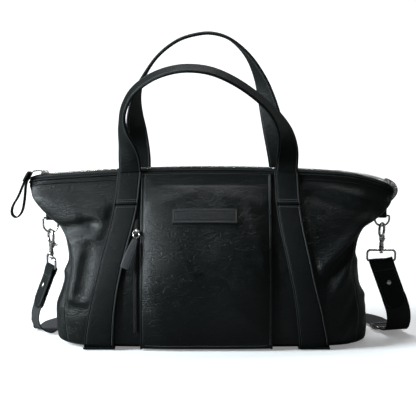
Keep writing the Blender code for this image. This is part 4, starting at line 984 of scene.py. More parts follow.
# the mouth's slider: two waisted plates, a bridge, and a bent wire link; a limp leather loop hangs from it
slider = {"x": -0.2600, "plate": (-0.0004, 0.0013), "under": (-0.0062, -0.0049), "wire": 0.0008}
sliderZ = float(topEdge(np.array(slider["x"])))
slope = float(topEdge(np.array(slider["x"] + 0.002)) - topEdge(np.array(slider["x"] - 0.002))) / 0.004
ahead = unit(np.array([1.0, 0.0, slope]))
above = unit(np.array([-slope, 0.0, 1.0]))
outline = np.concatenate([arc(0.0042, 0.0026, 0.0024, 0, 90, 6), arc(0.0, 0.0105, 0.0062, 252, 288, 5)[::-1],
                          arc(-0.0050, 0.0028, 0.0014, 90, 180, 5)])
outline = np.concatenate([outline, (outline * [1, -1])[::-1]])
origin = np.array([slider["x"], 0, sliderZ])
shaft = [(-0.0046, 0.0006), (-0.0040, 0.0034), (-0.0022, 0.0047), (0.0020, 0.0047), (0.0040, 0.0034),
         (0.0046, 0.0006)]
run = np.linspace(0, 1, 26)
archPath = curveThrough([(u, 0.0, w) for u, w in shaft], run)
bridge = wirePart(archPath, np.tile([0.0, 1, 0], (26, 1)), 0.0016, 12, flat=0.45)
metalPiece("mouthSlider", [placed(plate(outline, *slider["plate"], 0.0004), origin, ahead, (0, 1, 0), above),
                           placed(bridge, origin, ahead, (0, 1, 0), above)], "main_slider", ("main_slider",))
metalPiece("mouthSliderUnder", [placed(plate(outline * 0.96, *slider["under"], 0.0004), origin, ahead,
                                       (0, 1, 0), above)],
           "main_slider", ("main_slider_under_plate",))
pivot = origin + ahead * -0.0012 + above * 0.0025
linkPoints = [
    (0.0004, 0.0022, 0.0003), (-0.0080, 0.0036, 0.0016), (-0.0160, 0.0043, 0.0006),
    (-0.0192, 0.0030, -0.0014), (-0.0192, -0.0030, -0.0014), (-0.0160, -0.0043, 0.0006),
    (-0.0080, -0.0036, 0.0016), (0.0004, -0.0022, 0.0003)
]
path = closedCurve(pivot + np.array(linkPoints), 90)
metalPiece("mouthPullLink", [wirePart(path, np.tile([0.0, 0, 1], (90, 1)), slider["wire"] + 0.0001, 10,
                                      True)], "main_pull",
           ("main_pull_link",))

loop = {"width": 0.0088, "thickness": 0.0019, "direction": (0.25, 0.97, 0.0), "drop": [
    (0, 0, 0), (-0.0085, -0.001, -0.0120), (-0.0185, -0.003, -0.0350), (-0.0280, -0.004, -0.0520),
    (-0.0290, -0.005, -0.0640), (-0.0215, -0.006, -0.0690), (-0.0130, -0.006, -0.0590),
    (-0.0085, -0.010, -0.0400), (-0.0060, -0.010, -0.0180), (-0.0012, -0.0105, -0.0010)
]}
start = pivot + np.array([-0.0212, 0.0, -0.0022])
path = curveThrough(start + np.array(loop["drop"]), np.linspace(0, 1, 150))
side = np.tile(unit(np.array(loop["direction"])), (150, 1))
profile = strapSection(loop["width"], loop["thickness"], 0.0002, 0.0002, 0.0016, 8)
points, faces, caps = sweep(path, side, profile)
parts = [(points, faces, caps)]
drop = np.linspace(0, 1, 14)[:, None] * np.array([-0.0085, -0.0006, -0.0150])
keeperPath = start + np.array([0.0006, -0.0052, 0.0022]) + drop
keeperSection = strapSection(0.0205, 0.0052, 0.0005, 0.0004, 0.0022, 10)
shrink = np.stack([np.ones(14), 0.62 + 0.38 * np.sin(np.linspace(0.35, math.pi - 0.35, 14))], -1)
parts.append(sweep(keeperPath, side[:14], keeperSection, shrink))
points, faces, caps = joinMeshes(parts)
pullLoop = makePiece("mouthPullLoop", points, faces, strapFinish, "main_pull",
                     ("main_pull_loop",), caps)
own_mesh(pullLoop)
print("mouth slider ready")


# front pocket
pocket.update({"top": 0.2608, "thickness": 0.0027, "bulgeTop": 0.2420, "edgeLift": 0.0011, "zipX": -0.1143,
               "zipH": (0.030, 0.196), "sliderH": 0.176, "stitchIn": 0.0042})
pocketFolds = [
    ((-0.095, 0.214), (-0.040, 0.226), 0.010, 0.0016, 0.2),
    ((0.020, 0.226), (0.078, 0.214), 0.010, 0.0018, 0),
    ((-0.090, 0.172), (-0.030, 0.160), 0.014, -0.0010, 0),
    ((0.060, 0.200), (0.082, 0.130), 0.009, 0.0016, 0),
    ((0.040, 0.060), (0.082, 0.032), 0.011, 0.0014, 0),
    ((-0.098, 0.110), (-0.070, 0.020), 0.012, 0.0012, 0),
    ((-0.060, 0.012), (0.060, 0.014), 0.006, -0.0012, 0),
    ((-0.095, 0.246), (-0.050, 0.236), 0.006, 0.0010, 0)
]


def circleThrough(a, b, c):
    # centre and radius of the circle through three points of a plane
    (ax, ay), (bx, by), (cx, cy) = a, b, c
    squareA, squareB, squareC = ax ** 2 + ay ** 2, bx ** 2 + by ** 2, cx ** 2 + cy ** 2
    d = 2 * (ax * (by - cy) + bx * (cy - ay) + cx * (ay - by))
    x = (squareA * (by - cy) + squareB * (cy - ay) + squareC * (ay - by)) / d
    y = (squareA * (cx - bx) + squareB * (ax - cx) + squareC * (bx - ax)) / d
    return x, y, math.hypot(ax - x, ay - y)


def pocketPoint(x, h, out=0.0):
    # the pocket's outer face: the front wall moved out by a quartic arch across and a sine arch up
    low, high = pocket["x"]
    u = np.clip(2 * (x - low) / (high - low) - 1, -1, 1)
    v = np.clip((h - pocket["h"][0]) / (pocket["bulgeTop"] - pocket["h"][0]), 0, 1)
    bulge = pocket["bulge"] * (1 - u ** 4) * np.clip(np.sin(math.pi * v), 0, None) ** 0.6
    edge = np.minimum(x - low, high - x)
    groove = 0.0006 * bump((edge - pocket["stitchIn"] - 0.0008) / 0.0009)
    lift = pocket["edgeLift"] * bump((edge - 0.0016) / 0.0022) - groove
    folds = foldField(x, h, pocketFolds) + unevenness(x, h, 0.0008, 3.1)
    folds = folds * ramp(edge, 0.002, 0.018) * ramp(h, 0.004, 0.02)
    folds = folds * (1 - ramp(h, 0.248, 0.258))
    return frontPoint(x, h, pocket["gap"] + pocket["thickness"] + bulge + lift + folds + out)


x = pocket["x"][0] + (pocket["x"][1] - pocket["x"][0]) * edgeShares(150, 0.2, 0.004)
h = 0.0034 + (pocket["top"] - 0.0034) * edgeShares(150, 0.257, 0.004)
grid = pocketPoint(*np.meshgrid(x, h))
points, faces, _ = slab(grid, pocket["thickness"], (0, -1, 0), 0.0013)
makePiece("frontPocket", points, faces, shellFinish, "bag", ("front_pocket_panel",))
rows = []
run = np.linspace(0.008, 0.257, 200)
for x in (pocket["x"][0] + pocket["stitchIn"] + 0.0008, pocket["x"][1] - pocket["stitchIn"] - 0.0008):
    rows.append(stitchLine(*lineOn(lambda u, v: pocketPoint(u, v, 0.0001), x + 0 * run, run, 0, 0.0008)))
run = np.linspace(pocket["x"][0] + 0.008, pocket["x"][1] - 0.008, 120)
rows.append(stitchLine(*lineOn(lambda u, v: pocketPoint(u, v, 0.0001), run, 0.0105 + 0 * run, 0, 0.0008)))
stitchPiece("pocketStitches", rows, "bag")

# the label: a plain stitched patch with a pressed frame
label = {"x": (-0.0600, 0.0390), "h": (0.1850, 0.2060), "thickness": 0.0020, "stitchIn": 0.0022,
         "frame": 0.0044,
         "stitch": {"pitch": 0.0026, "length": 0.0020, "radius": 0.0003}}


def labelPoint(x, h, out=0.0):
    # the pocket's face raised by the patch, with a pressed frame and a groove for the stitches
    (x0, x1), (h0, h1) = label["x"], label["h"]
    edge = np.minimum(np.minimum(x - x0, x1 - x), np.minimum(h - h0, h1 - h))
    press = 0.00045 * bump((edge - label["frame"]) / 0.0006)
    press = press + 0.0002 * bump((edge - label["stitchIn"]) / 0.0007)
    return pocketPoint(x, h, label["thickness"] + 0.0004 - press + out)


x = label["x"][0] + (label["x"][1] - label["x"][0]) * edgeShares(120, 0.1, 0.002)
h = label["h"][0] + (label["h"][1] - label["h"][0]) * edgeShares(44, 0.021, 0.002)
grid = labelPoint(*np.meshgrid(x, h))
points, faces, _ = slab(grid, label["thickness"], (0, -1, 0), 0.0008)
makePiece("labelPatch", points, faces, trimFinish, "bag", ("label_patch",))
rows = []
acrossLabel = np.array(label["x"]) + np.array([1, -1]) * label["stitchIn"]
upLabel = np.array(label["h"]) + np.array([1, -1]) * label["stitchIn"]
sides = [(np.linspace(*acrossLabel, 60), h + np.zeros(60)) for h in upLabel]
sides += [(x + np.zeros(20), np.linspace(*upLabel, 20)) for x in acrossLabel]
for x, h in sides:
    rows.append(stitchLine(*lineOn(labelPoint, x, h, 0.0001, 0.0008), **label["stitch"]))
points, quads, caps = joinMeshes(rows)
makePiece("labelStitches", points, quads, threadFinish, "bag", caps=caps)

# the pocket's upright zip: tape, teeth, slider, split ring and leather pull
track = np.array([frontPoint(np.array(pocket["zipX"]), np.array(h), 0.0042)
                  for h in (0.050, 0.118, 0.176)])[:, 1:]
arcY, arcZ, arcRadius = circleThrough(*track)
ends = [frontPoint(np.array(pocket["zipX"]), np.array(h), 0.0035) for h in pocket["zipH"]]
angles = np.array([math.atan2(p[2] - arcZ, p[1] - arcY) % (2 * math.pi) for p in ends])
run = np.linspace(angles[0], angles[1], 120)


def onTrack(angle, lift):
    return np.stack([pocket["zipX"] + 0 * angle, arcY + (arcRadius + lift) * np.cos(angle),
                     arcZ + (arcRadius + lift) * np.sin(angle)], -1)


profile = strapSection(0.0085, 0.0009, 0.0001, 0.0, 0.002, 8)
points, faces, caps = sweep(onTrack(run, -0.0004), np.tile([1.0, 0, 0], (120, 1)), profile)
makePiece("pocketZipTape", points, faces, tapeFinish, "bag", ("pocket_zip_tape",), caps)
# the teeth take the near-black coil finish, painted shade of the recess they sit in
points, faces, caps = teethAlong(onTrack(run, 0.0009), np.tile([1.0, 0, 0], (120, 1)), 0.0024, 0.62)
makePiece("pocketZipTeeth", points, faces, coilFinish, "bag", ("pocket_zip_teeth",), caps)
spot = frontPoint(np.array(pocket["zipX"]), np.array(pocket["sliderH"]), 0.0035)
angle = math.atan2(spot[2] - arcZ, spot[1] - arcY)
rayOut = np.array([0.0, math.cos(angle), math.sin(angle)])
rayUp = np.array([0.0, -math.sin(angle), math.cos(angle)])
rayUp = rayUp * np.sign(rayUp[2])
origin = np.array([pocket["zipX"], arcY, arcZ]) + rayOut * (arcRadius + 0.0032)
outline = np.concatenate([arc(0.0021, 0.0032, 0.0015, 0, 90, 6), arc(-0.0020, 0.0030, 0.0012, 90, 180, 5)])
outline = np.concatenate([outline[:, ::-1] * [1, 1], (outline[:, ::-1] * [-1, 1])[::-1]])
shaft = [(0.0, -0.0018, 0.0003), (0.0, -0.0016, 0.0026), (0.0, -0.0004, 0.0044), (0.0, 0.0024, 0.0048),
         (0.0, 0.0040, 0.0030),
         (0.0, 0.0042, 0.0003)]
archPath = curveThrough(shaft, np.linspace(0, 1, 22))
metalPiece("pocketSlider", [
    placed(plate(outline, -0.0009, 0.0006, 0.0003), origin, (1, 0, 0), rayUp, rayOut),
    placed(wirePart(archPath, np.tile([1.0, 0, 0], (22, 1)), 0.0010, 10, flat=0.55), origin, (1, 0, 0),
           rayUp, rayOut)],
    "pocket_slider", ("pocket_slider",))
a = np.linspace(0, 2 * math.pi, 60, endpoint=False)
hoop = frontPoint(pocket["zipX"] + 0.0046 * np.cos(a), pocket["sliderH"] - 0.0040 + 0.0046 * np.sin(a),
                  0.0100)
metalPiece("pocketPullRing", [wirePart(hoop, np.tile([0.0, 1, 0.2], (60, 1)), 0.0009, 10, True)],
           "pocket_pull",
           ("pocket_pull_ring",))

pull = {"route": [(-0.1158, 0.1650), (-0.1205, 0.1520), (-0.1262, 0.1385), (-0.1318, 0.1255)],
        "thickness": 0.0030,
        "widths": [0.0080, 0.0118, 0.0132, 0.0134, 0.0134], "out": (0.0100, 0.0128)}
run = np.linspace(0, 1, 60)
route = np.array(pull["route"])
flat = curveThrough(np.concatenate([route, np.zeros((4, 1))], 1), run)
path = frontPoint(flat[:, 0], flat[:, 1], np.interp(run, [0, 0.4], pull["out"]))
side = np.tile(unit(np.array([0.94, 0.0, -0.3])), (60, 1))
width = np.interp(run, np.linspace(0, 1, 5), pull["widths"])
ends = 1 - 0.22 * (1 - np.clip((1 - run) / 0.05, 0, 1)) ** 2
half = strapSection(0.0134, pull["thickness"], 0.0002, 0.0004, 0.0018, 12)
points, faces, caps = sweep(path, side, half, np.stack([width / 0.0134 * ends, np.ones(60)], -1))
makePiece("pocketPull", points, faces, pullFinish, "pocket_pull", ("pocket_pull_tab",), caps)
tangent, across, up = frames(path, side)
up = up * np.sign(-up[:, 1:2])
lines = []


def pullLine(s, w):
    place, wide, high = lookUp(path, run, s), lookUp(across, run, s), lookUp(up, run, s)
    return stitchLine(place + wide * np.asarray(w)[:, None] + high * (pull["thickness"] / 2 + 0.0002), high,
                      0.0021,
                      0.0016, 0.00026)


s = np.linspace(0.10, 0.94, 40)
for hand in (-1, 1):
    lines.append(pullLine(s, hand * (np.interp(s, run, width) / 2 - 0.0016)))
    cross = np.linspace(0.08, 0.36, 20)
    lines.append(pullLine(cross, hand * np.linspace(-0.0040, 0.0040, 20)))
for level in (0.06, 0.38, 0.94):
    lines.append(pullLine(np.full(10, level), np.linspace(-0.0042, 0.0042, 10)))
points, quads, caps = joinMeshes(lines)
makePiece("pocketPullStitches", points, quads, threadFinish, "pocket_pull", caps=caps)
print("front pocket ready")


# shoulder strap hardware
clips = {
    "left": {"x": -0.2525, "bar": 0.1890, "drop": 0.0110, "turn": 118.0, "across": (-0.40, 0.92, 0.0)},
    "right": {"x": 0.2665, "bar": 0.1925, "drop": 0.0045, "turn": 62.0, "across": (1.0, 0.0, 0.0)},
    "ringRadius": 0.0115, "ringWire": 0.0016, "eyeDrop": 0.0064, "eyeRadius": 0.0107, "eyeWire": 0.0018,
    "loopHalf": 0.0220, "loopHeight": 0.0175, "loopWire": 0.0017,
}
tabs = {
    "left": [(-0.2583, 0.0000, 0.0935), (-0.2649, 0.0010, 0.0765), (-0.2712, 0.0022, 0.0600),
             (-0.2765, 0.0030, 0.0455)],
    "right": [(0.2726, 0.0000, 0.1030), (0.2798, 0.0000, 0.0835), (0.2870, 0.0000, 0.0640),
              (0.2938, 0.0000, 0.0455)],
    "leftAcross": [(-0.40, 0.92, 0.0)] * 4,
    "rightAcross": [(1.0, 0, 0.22), (1.0, 0, 0.34), (1.0, 0, 0.36), (1.0, 0, 0.26)],
    "width": 0.0370, "leaf": 0.0022, "apart": 0.0021, "fold": 0.0031, "edge": 0.0032, "rivet": 0.0042,
}

for name, sign in (("left", -1), ("right", 1)):
    clip = clips[name]
    x, bar, low = clip["x"], clip["bar"], clip["bar"] - clip["drop"]
    radius, corner = clips["ringRadius"], 0.0024
    # D-ring: a half circle, two short sides, two tight corners and a straight bar
    flat = np.concatenate([arc(0, low, radius, 180, 360, 40),
                           arc(radius - corner, bar - corner, corner, 8, 90, 8),
                           arc(-radius + corner, bar - corner, corner, 90, 172, 8)])
    path = np.stack([x + flat[:, 0], 0 * flat[:, 0], flat[:, 1]], -1)
    metalPiece(f"dRing_{name}", [wirePart(path, np.tile([0.0, 1, 0], (len(path), 1)), clips["ringWire"], 16,
                                          True)],
               f"ring_{name}", (f"d_ring_{name}",))
    # its leather tab: a strip folded round the bar, both ends sewn up under the wing
    leaf = 0.0016
    inner = clips["ringWire"] + 0.0003 + leaf / 2
    fold = arc(0, 0, inner, 180, 360, 18)
    up = np.linspace(0, 1, 8)[1:, None]
    back = np.array([-inner, 0.0]) + up * np.array([inner - 0.0010, 0.0105])
    front = np.array([inner, 0.0]) + up * np.array([-inner + 0.0010, 0.0105])
    flat = np.concatenate([back[::-1], fold, front])
    lean = -sign * 0.0040 * np.clip(flat[:, 1] / 0.0105, 0, 1)
    path = np.stack([x + 0 * lean, flat[:, 0], bar + flat[:, 1]], -1)
    profile = strapSection(0.0140, leaf, 0.0001, 0.0002, 0.0018, 8)
    points, faces, caps = sweep(path, np.tile([1.0, 0, 0], (len(path), 1)), profile)
    makePiece(f"ringTab_{name}", points, faces, strapFinish, "bag", (f"ring_tab_{name}",),
              caps)
    rows = []
    for edge in (-1, 1):
        run = np.linspace(0.001, 0.0085, 6)
        y = -(inner - (inner - 0.0010) * run / 0.0105) - leaf / 2
        row = np.stack([x + edge * 0.0052 + 0 * run, y, bar + run], -1)
        rows.append(stitchLine(row, np.tile([0.0, -1, 0], (6, 1)), 0.0024, 0.0018, 0.00028))
    stitchPiece(f"ringTabStitches_{name}", rows, "bag")

    # scissor snap: drawn in (u across, v height, w through), then turned about the upright line through x
    turn = math.radians(clip["turn"])
    u, v, w = (math.cos(turn), math.sin(turn), 0.0), (0.0, 0.0, 1.0), (math.sin(turn), -math.cos(turn), 0.0)
    eye = low - radius - clips["eyeDrop"]
    pin = eye - 0.0135
    at = np.array([x, 0.0, 0.0])

    def jaw(start, stop, taper):
        flat = arc(0, eye, clips["eyeRadius"], start, stop, 40)
        path = np.stack([flat[:, 0], flat[:, 1], 0 * flat[:, 0]], -1)
        run = np.linspace(0, 1, 40)
        thicker = 0.22 * np.clip((0.25 - run) / 0.25, 0, 1)
        size = 1 - taper * np.clip((run - 0.78) / 0.22, 0, 1) ** 1.6 + thicker
        return wirePart(path, np.tile([0.0, 0, 1], (40, 1)), clips["eyeWire"] * 1.12, 16, flat=0.93,
                        scale=np.stack([size, size], -1))

    neck = [(-0.0034, pin - 0.0070), (-0.0026, pin - 0.0082), (0.0026, pin - 0.0082), (0.0034, pin - 0.0070)]
    cheek = np.concatenate([arc(0, pin, 0.0058, -55, 235, 30), neck])
    fixed = [placed(jaw(-80, 87, 0.35), at, u, v, w),
             placed(plate(cheek, -0.0021, 0.0019, 0.0005), at, u, v, w),
             lathe([(0.0010, -0.0064), (0.0030, -0.0066), (0.0037, -0.0074), (0.0037, -0.0084),
                    (0.0032, -0.0089),
                    (0.0032, -0.0097), (0.0037, -0.0102), (0.0037, -0.0112), (0.0031, -0.0120),
                    (0.0015, -0.0124),
                    (0.0014, -0.0190)], (x, 0, pin)),
             lathe([(0.0012, -0.0218), (0.0026, -0.0222), (0.0031, -0.0230), (0.0026, -0.0238),
                    (0.0010, -0.0241)],
                   (x, 0, pin)),
             lathe([(0.0013, -0.0195), (0.0013, -0.0222)], (x, 0, pin), around=16)]
    metalPiece(f"clip_{name}", fixed, f"hook_{name}", (f"hook_{name}",))
    lever = np.concatenate([[(-0.0020, pin + 0.0042)], [(-0.0060, pin + 0.0042)],
                            arc(-0.0162, pin + 0.0020, 0.0019, 100, 265, 9),
                            [(-0.0085, pin - 0.0008), (-0.0040, pin - 0.0030), (-0.0010, pin - 0.0030)]])
    arm = [(-0.0075, pin + 0.0030), (-0.0050, pin + 0.0030), (-0.0030, pin + 0.0050),
           (-0.0050, pin + 0.0072), (-0.0084, pin + 0.0070)]
    gate = [placed(jaw(262, 93, 0.35), at, u, v, w),
            placed(plate(arc(0, pin, 0.0061, 0, 345, 30), 0.0021, 0.0034, 0.0004), at, u, v, w),
            placed(plate(arm, 0.0002, 0.0034, 0.0004), at, u, v, w),
            placed(plate(lever, 0.0023, 0.0040, 0.0005), at, u, v, w)]
    metalPiece(f"clipGate_{name}", gate, f"gate_{name}", (f"hook_gate_{name}",))
    axis = np.array(w)
    rivet = lathe([(0.0013, -0.0022), (0.0026, -0.0023), (0.0025, -0.0030), (0.0014, -0.0036),
                   (0.0004, -0.0037)],
                  (x, 0, pin), axis)
    head = lathe([(0.0013, 0.0040), (0.0027, 0.0041), (0.0026, 0.0049), (0.0016, 0.0056), (0.0004, 0.0058)],
                 (x, 0, pin), axis)
    stem = lathe([(0.0013, -0.0024), (0.0013, 0.0042)], (x, 0, pin), axis, 16)
    metalPiece(f"clipRivet_{name}", [rivet, head, stem], f"hook_{name}", (f"hook_rivet_{name}",))

    # the strap's rectangular loop, its swivel socket on the top bar
    top, foot, half, bend = pin - 0.0190, pin - 0.0190 - clips["loopHeight"], clips["loopHalf"], 0.0052
    flat = np.concatenate([arc(half - bend, top - bend, bend, 0, 90, 9),
                           arc(-half + bend, top - bend, bend, 90, 180, 9),
                           arc(-half + bend, foot + bend, bend, 180, 270, 9),
                           arc(half - bend, foot + bend, bend, 270, 360, 9)])
    reach = unit(np.array(clip["across"]))
    path = np.array([x, 0, 0]) + flat[:, :1] * reach + flat[:, 1:] * np.array([0, 0, 1.0])
    normal = np.cross(reach, [0, 0, 1.0])
    socket = lathe([(0.0019, 0.0066), (0.0036, 0.0066), (0.0042, 0.0058), (0.0042, 0.0034), (0.0034, 0.0026),
                    (0.0034, 0.0008),
                    (0.0040, 0.0000), (0.0036, -0.0018), (0.0019, -0.0022)], (x, 0, top))
    metalPiece(f"strapLoop_{name}", [wirePart(path, np.tile(normal, (len(path), 1)), clips["loopWire"], 16,
                                              True), socket],
               "shoulder_strap", (f"strap_loop_{name}",))

    # the strap's leather tab: one strip up the back, round the loop's lower bar and down the front
    route = np.array([(x, 0.0, foot)] + tabs[name])
    across = np.array([clip["across"]] + tabs[name + "Across"], float)
    t = np.linspace(0, 1, 90)
    dense, wide = curveThrough(route, t), unit(curveThrough(across, t))
    length = distances(dense)
    keep = length > 0.0032
    line, wide, length = dense[keep], wide[keep], length[keep]
    tangent = unit(np.gradient(line, axis=0))
    face = unit(np.cross(tangent, wide))
    face = face * (1 if face[len(face) // 2][1] < 0 else -1)
    apart = (tabs["apart"] + (tabs["fold"] - tabs["apart"]) * (1 - ramp(length, 0.003, 0.016)))[:, None]
    crest = np.array([x, 0.0, foot])
    a = np.linspace(0, math.pi, 16)[1:-1]
    downwards, outwards = tangent[0], face[0]
    bow = crest + tabs["fold"] * (-np.cos(a)[:, None] * outwards - np.sin(a)[:, None] * downwards)
    path = np.concatenate([(line - face * apart)[::-1], bow, line + face * apart])
    sides = np.concatenate([wide[::-1], np.tile(wide[0], (14, 1)), wide])
    fromEnd = length[-1] - length
    rounded = np.sqrt(np.clip(1 - (1 - np.clip(fromEnd / 0.0125, 0, 1)) ** 2, 0.05, 1))
    size = np.concatenate([rounded[::-1], np.ones(14), rounded])
    profile = strapSection(tabs["width"], tabs["leaf"], 0.0004, 0.0004, tabs["edge"], 12)
    if np.sum(np.cross(unit(np.gradient(path, axis=0)), sides)[-20] * face[-20]) < 0:
        profile = profile * [1, -1]
    points, faces, caps = sweep(path, sides, profile, np.stack([size, np.ones(len(size))], -1))
    makePiece(f"strapTab_{name}", points, faces, strapFinish, "shoulder_strap",
              (f"strap_tab_{name}",), caps)
    rows = []
    here = (fromEnd > 0.0030) & (length > 0.009)
    for hand in (-1, 1):
        for front in (-1, 1):
            inward = tabs["width"] / 2 * rounded[here] - tabs["edge"]
            row = (line + face * front * (apart + tabs["leaf"] / 2 + 0.0001))[here]
            rows.append(stitchLine(row + wide[here] * (hand * inward)[:, None], face[here] * front))
    k = int(np.argmin(np.abs(length - 0.014)))
    cross = np.linspace(-1, 1, 20)[:, None] * (tabs["width"] / 2 - tabs["edge"])
    for front in (-1, 1):
        row = line[k] + face[k] * front * (apart[k] + tabs["leaf"] / 2 + 0.0002) + cross * wide[k]
        rows.append(stitchLine(row, np.tile(face[k] * front, (20, 1))))
    stitchPiece(f"strapTabStitches_{name}", rows, "shoulder_strap")
    k = int(np.argmin(np.abs(length - 0.45 * length[-1])))
    dome = [(tabs["rivet"], -0.0002), (tabs["rivet"], 0.0005), (tabs["rivet"] * 0.86, 0.0013),
            (tabs["rivet"] * 0.5, 0.0018),
            (0.0004, 0.0019)]
    rise = apart[k] + tabs["leaf"] / 2 + 0.0001
    heads = [lathe(dome, line[k] + hand * face[k] * rise, hand * face[k]) for hand in (1, -1)]
    metalPiece(f"tabRivet_{name}", heads, "shoulder_strap", (f"tab_rivet_{name}",))
print("shoulder strap hardware ready")

# the webbing: a flat ribbed strap, thicker at both woven edges, down behind the bag and along the floor
webbing = {"width": 0.0380, "thickness": 0.0021, "route": [
    ((-0.2690, 0.0018, 0.0660), (-0.40, 0.92, 0.0)), ((-0.2764, 0.0031, 0.0470), (-0.40, 0.92, 0.0)),
    ((-0.2800, 0.0045, 0.0310), (-0.40, 0.92, 0.0)),
    ((-0.2780, 0.0090, 0.0160), (-0.46, 0.89, 0.0)), ((-0.2705, 0.0200, 0.0050), (-0.62, 0.78, 0.0)),
    ((-0.2640, 0.0440, 0.0014), (-0.93, 0.36, 0.0)), ((-0.2540, 0.0850, 0.0014), (-0.85, 0.52, 0.0)),
    ((-0.2150, 0.1220, 0.0014), (-0.50, 0.87, 0.0)), ((-0.1500, 0.1400, 0.0014), (-0.12, 0.99, 0.0)),
    ((-0.0600, 0.1460, 0.0014), (0.00, 1.00, 0.0)), ((0.0400, 0.1470, 0.0016), (0.05, 0.99, 0.0)),
    ((0.1300, 0.1440, 0.0022), (0.20, 0.98, 0.0)), ((0.2050, 0.1340, 0.0034), (0.48, 0.88, 0.0)),
    ((0.2460, 0.1130, 0.0048), (0.82, 0.57, 0.0)), ((0.2640, 0.0904, 0.0054), (0.94, 0.33, 0.0)),
    ((0.2720, 0.0676, 0.0054), (0.94, 0.33, 0.0)), ((0.2800, 0.0448, 0.0054), (0.94, 0.33, 0.0)),
    ((0.2880, 0.0220, 0.0056), (0.94, 0.33, 0.0)), ((0.2935, 0.0085, 0.0095), (0.98, 0.20, 0.0)),
    ((0.2965, 0.0020, 0.0240), (1.00, 0.06, 0.0)), ((0.2944, 0.0000, 0.0425), (1.00, 0.00, 0.18)),
    ((0.2872, 0.0000, 0.0640), (1.00, 0.00, 0.36))]}
t = np.linspace(0, 1, 900)
path = curveThrough([p for p, _ in webbing["route"]], t)
side = curveThrough([d for _, d in webbing["route"]], t)
half = webbing["width"] / 2
u = np.sin(np.linspace(-math.pi / 2, math.pi / 2, 25))
fromEdge = np.abs(u) * half - half
edge = np.sqrt(np.clip(1 - (np.clip(fromEdge + 0.0010, 0, None) / 0.0010) ** 2, 0, 1))
rib = 1 + 0.12 * bump((fromEdge + 0.0022) / 0.0010) - 0.10 * bump((fromEdge + 0.0050) / 0.0010)
profile = np.concatenate([np.stack([u * half, webbing["thickness"] / 2 * edge * rib], -1),
                          np.stack([u * half, -webbing["thickness"] / 2 * edge * rib], -1)[::-1][1:-1]])
points, faces, caps = sweep(path, side, profile)
run = distances(path)
print("shoulder strap webbing:", round(float(run[-1]), 3), "m long")
uv = np.stack(np.meshgrid(profile[:, 0], run), -1)
makePiece("shoulderWebbing", points, faces, webFinish, "shoulder_strap", ("webbing",), caps,
          uv=uv)

# the adjuster: a three-bar slide with the webbing over its middle bar
adjuster = {"at": (0.2818, 0.0396, 0.0054), "along": (-0.3310, 0.9436, 0.0), "rail": 0.0215, "half": 0.0137}
u = unit(np.array(adjuster["along"]))
v = np.cross([0, 0, 1.0], u)
at = np.array(adjuster["at"])
rail = np.linspace(-1, 1, 16)
parts = []
for hand in (-1, 1):
    outline = np.concatenate([arc(0.0130, 0.0012, 0.0022, -70, 90, 8),
                              arc(-0.0130, 0.0012, 0.0022, 90, 250, 8),
                              [(-0.0040, -0.0034), (0.0040, -0.0034)]])
    parts.append(placed(plate(outline, -0.0012, 0.0012, 0.0004), at + v * hand * adjuster["rail"], u,
                        (0, 0, 1.0), v))
    path = at + u * hand * adjuster["half"] + v * (rail * adjuster["rail"])[:, None]
    path = path + np.array([0, 0, 0.0024])
    parts.append(wirePart(path, np.tile(u, (16, 1)), 0.0015, 14, flat=0.62))
path = at + v * (rail * adjuster["rail"])[:, None] + np.array([0, 0, -0.0025])
parts.append(wirePart(path, np.tile(u, (16, 1)), 0.0014, 14, flat=0.62))
metalPiece("strapAdjuster", parts, "adjuster", ("adjuster",))
print("shoulder strap ready")


# lining
clothNodes = ("lining", "inner_slip_pocket", "bottle_pocket_left", "bottle_pocket_right")
for node, finish in [(cloth, liningFinish) for cloth in clothNodes] + [("base_board", boardFinish)]:
    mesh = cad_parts[node].data
    mesh.materials.clear()
    mesh.materials.append(finish)


# stage, light and camera
# floor: flat in front and behind, and the paper rises behind; the room is bright where it is seen and dim
# where the bag mirrors it, as when dark flags stand beside the camera. The paper itself carries painted light
# and shade: it glows for the camera alone, more strongly away from the bag, and is dim in the rays that light
# the bag and show in its reflections
stage = {"colour": (0.86, 0.86, 0.865), "dim": (0.16, 0.16, 0.16), "glow": (0.22, 0.95), "flat": 3.0,
         "bend": 1.6, "top": 3.2,
         "roomSeen": 1.0, "roomLight": 0.10}
a = np.linspace(0, math.pi / 2, 16)
radius = np.concatenate([[0.0001], np.linspace(0.2, stage["flat"], 12),
                         stage["flat"] + stage["bend"] * np.sin(a[1:]),
                         [stage["flat"] + stage["bend"]]])
height = np.concatenate([np.zeros(13), stage["bend"] * (1 - np.cos(a[1:])), [stage["top"]]])
turn = np.linspace(0, 2 * math.pi, 96, endpoint=False)
points = np.stack([radius[:, None] * np.cos(turn), radius[:, None] * np.sin(turn),
                   height[:, None] + 0 * turn[None, :] - 0.0002], -1)
mesh = bpy.data.meshes.new("studioFloor")
quads = gridFaces(len(radius), 96, loop=True).tolist()
mesh.from_pydata(points.reshape(-1, 3).tolist(), [], quads + [list(range(96))])
mesh.shade_smooth()
paper, tree, shader = newFinish("paperFloorPaintedLight", stage["colour"], 0.0, 0.9)
seen = addNode(tree, "ShaderNodeLightPath").outputs["Is Camera Ray"]
# painted shade: the paper is dim in every ray but the camera's, so the bag is lit by and mirrors a dark floor
tree.links.new(mixColour(tree, seen, stage["dim"], stage["colour"]), shader.inputs["Base Color"])
shader.inputs["Emission Color"].default_value = (1.0, 1.0, 1.0, 1.0)
place = addNode(tree, "ShaderNodeTexCoord").outputs["Object"]
reach = addNode(tree, "ShaderNodeVectorMath", {"operation": "LENGTH"}, i0=place).outputs["Value"]
# painted light: the paper glows for the camera alone, weakly near the bag and strongly far from it
glow = mapped(tree, reach, *stage["glow"], 0.6, 2.4)
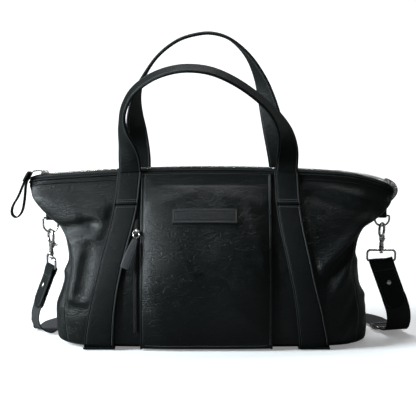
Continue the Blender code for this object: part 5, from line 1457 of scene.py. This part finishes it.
tree.links.new(sums(tree, "MULTIPLY", seen, glow), shader.inputs["Emission Strength"])
mesh.materials.append(paper)
floor = bpy.data.objects.new("studioFloor", mesh)
bpy.context.scene.collection.objects.link(floor)

world = bpy.data.worlds.new("softRoom")
world.use_nodes = True
background = world.node_tree.nodes["Background"]
background.inputs["Color"].default_value = (1.0, 1.0, 1.0, 1.0)
tree = world.node_tree
seen = addNode(tree, "ShaderNodeLightPath").outputs["Is Camera Ray"]
tree.links.new(mapped(tree, seen, stage["roomLight"], stage["roomSeen"]), background.inputs["Strength"])
bpy.context.scene.world = world
bpy.context.scene.view_settings.view_transform = "Standard"

# soft boxes: name, place, what they look at, width and height, power, colour
lamps = [
    ("keyLight", (-2.35, -0.80, 1.30), (-0.08, 0.0, 0.16), (0.9, 1.3), 150, (0.86, 0.96, 1.0)),
    ("topLight", (-0.1, 0.7, 2.1), (0.0, 0.0, 0.20), (1.5, 0.8), 28, (0.95, 0.98, 1.0)),
    ("edgeLight", (2.2, 0.9, 1.0), (0.10, 0.0, 0.15), (0.7, 1.2), 6, (0.95, 1.0, 1.0)),
]
for name, place, target, size, power, tint in lamps:
    lamp = bpy.data.lights.new(name, "AREA")
    lamp.shape, lamp.size, lamp.size_y, lamp.energy, lamp.color = "RECTANGLE", size[0], size[1], power, tint
    holder = bpy.data.objects.new(name, lamp)
    direction = np.array(target) - np.array(place)
    holder.location = place
    holder.rotation_euler = (math.atan2(math.hypot(direction[0], direction[1]), -direction[2]), 0.0,
                             math.atan2(direction[1], direction[0]) - math.pi / 2)
    bpy.context.scene.collection.objects.link(holder)

view = {"place": (-0.0068, -2.0453, 0.52), "tilt": 81.43, "lens": 113.1}
lens = bpy.data.cameras.new("camera")
lens.lens, lens.sensor_width, lens.sensor_fit = view["lens"], 36.0, "HORIZONTAL"
camera = bpy.data.objects.new("camera", lens)
camera.location = view["place"]
camera.rotation_euler = (math.radians(view["tilt"]), 0.0, 0.0)
bpy.context.scene.collection.objects.link(camera)
bpy.context.scene.camera = camera
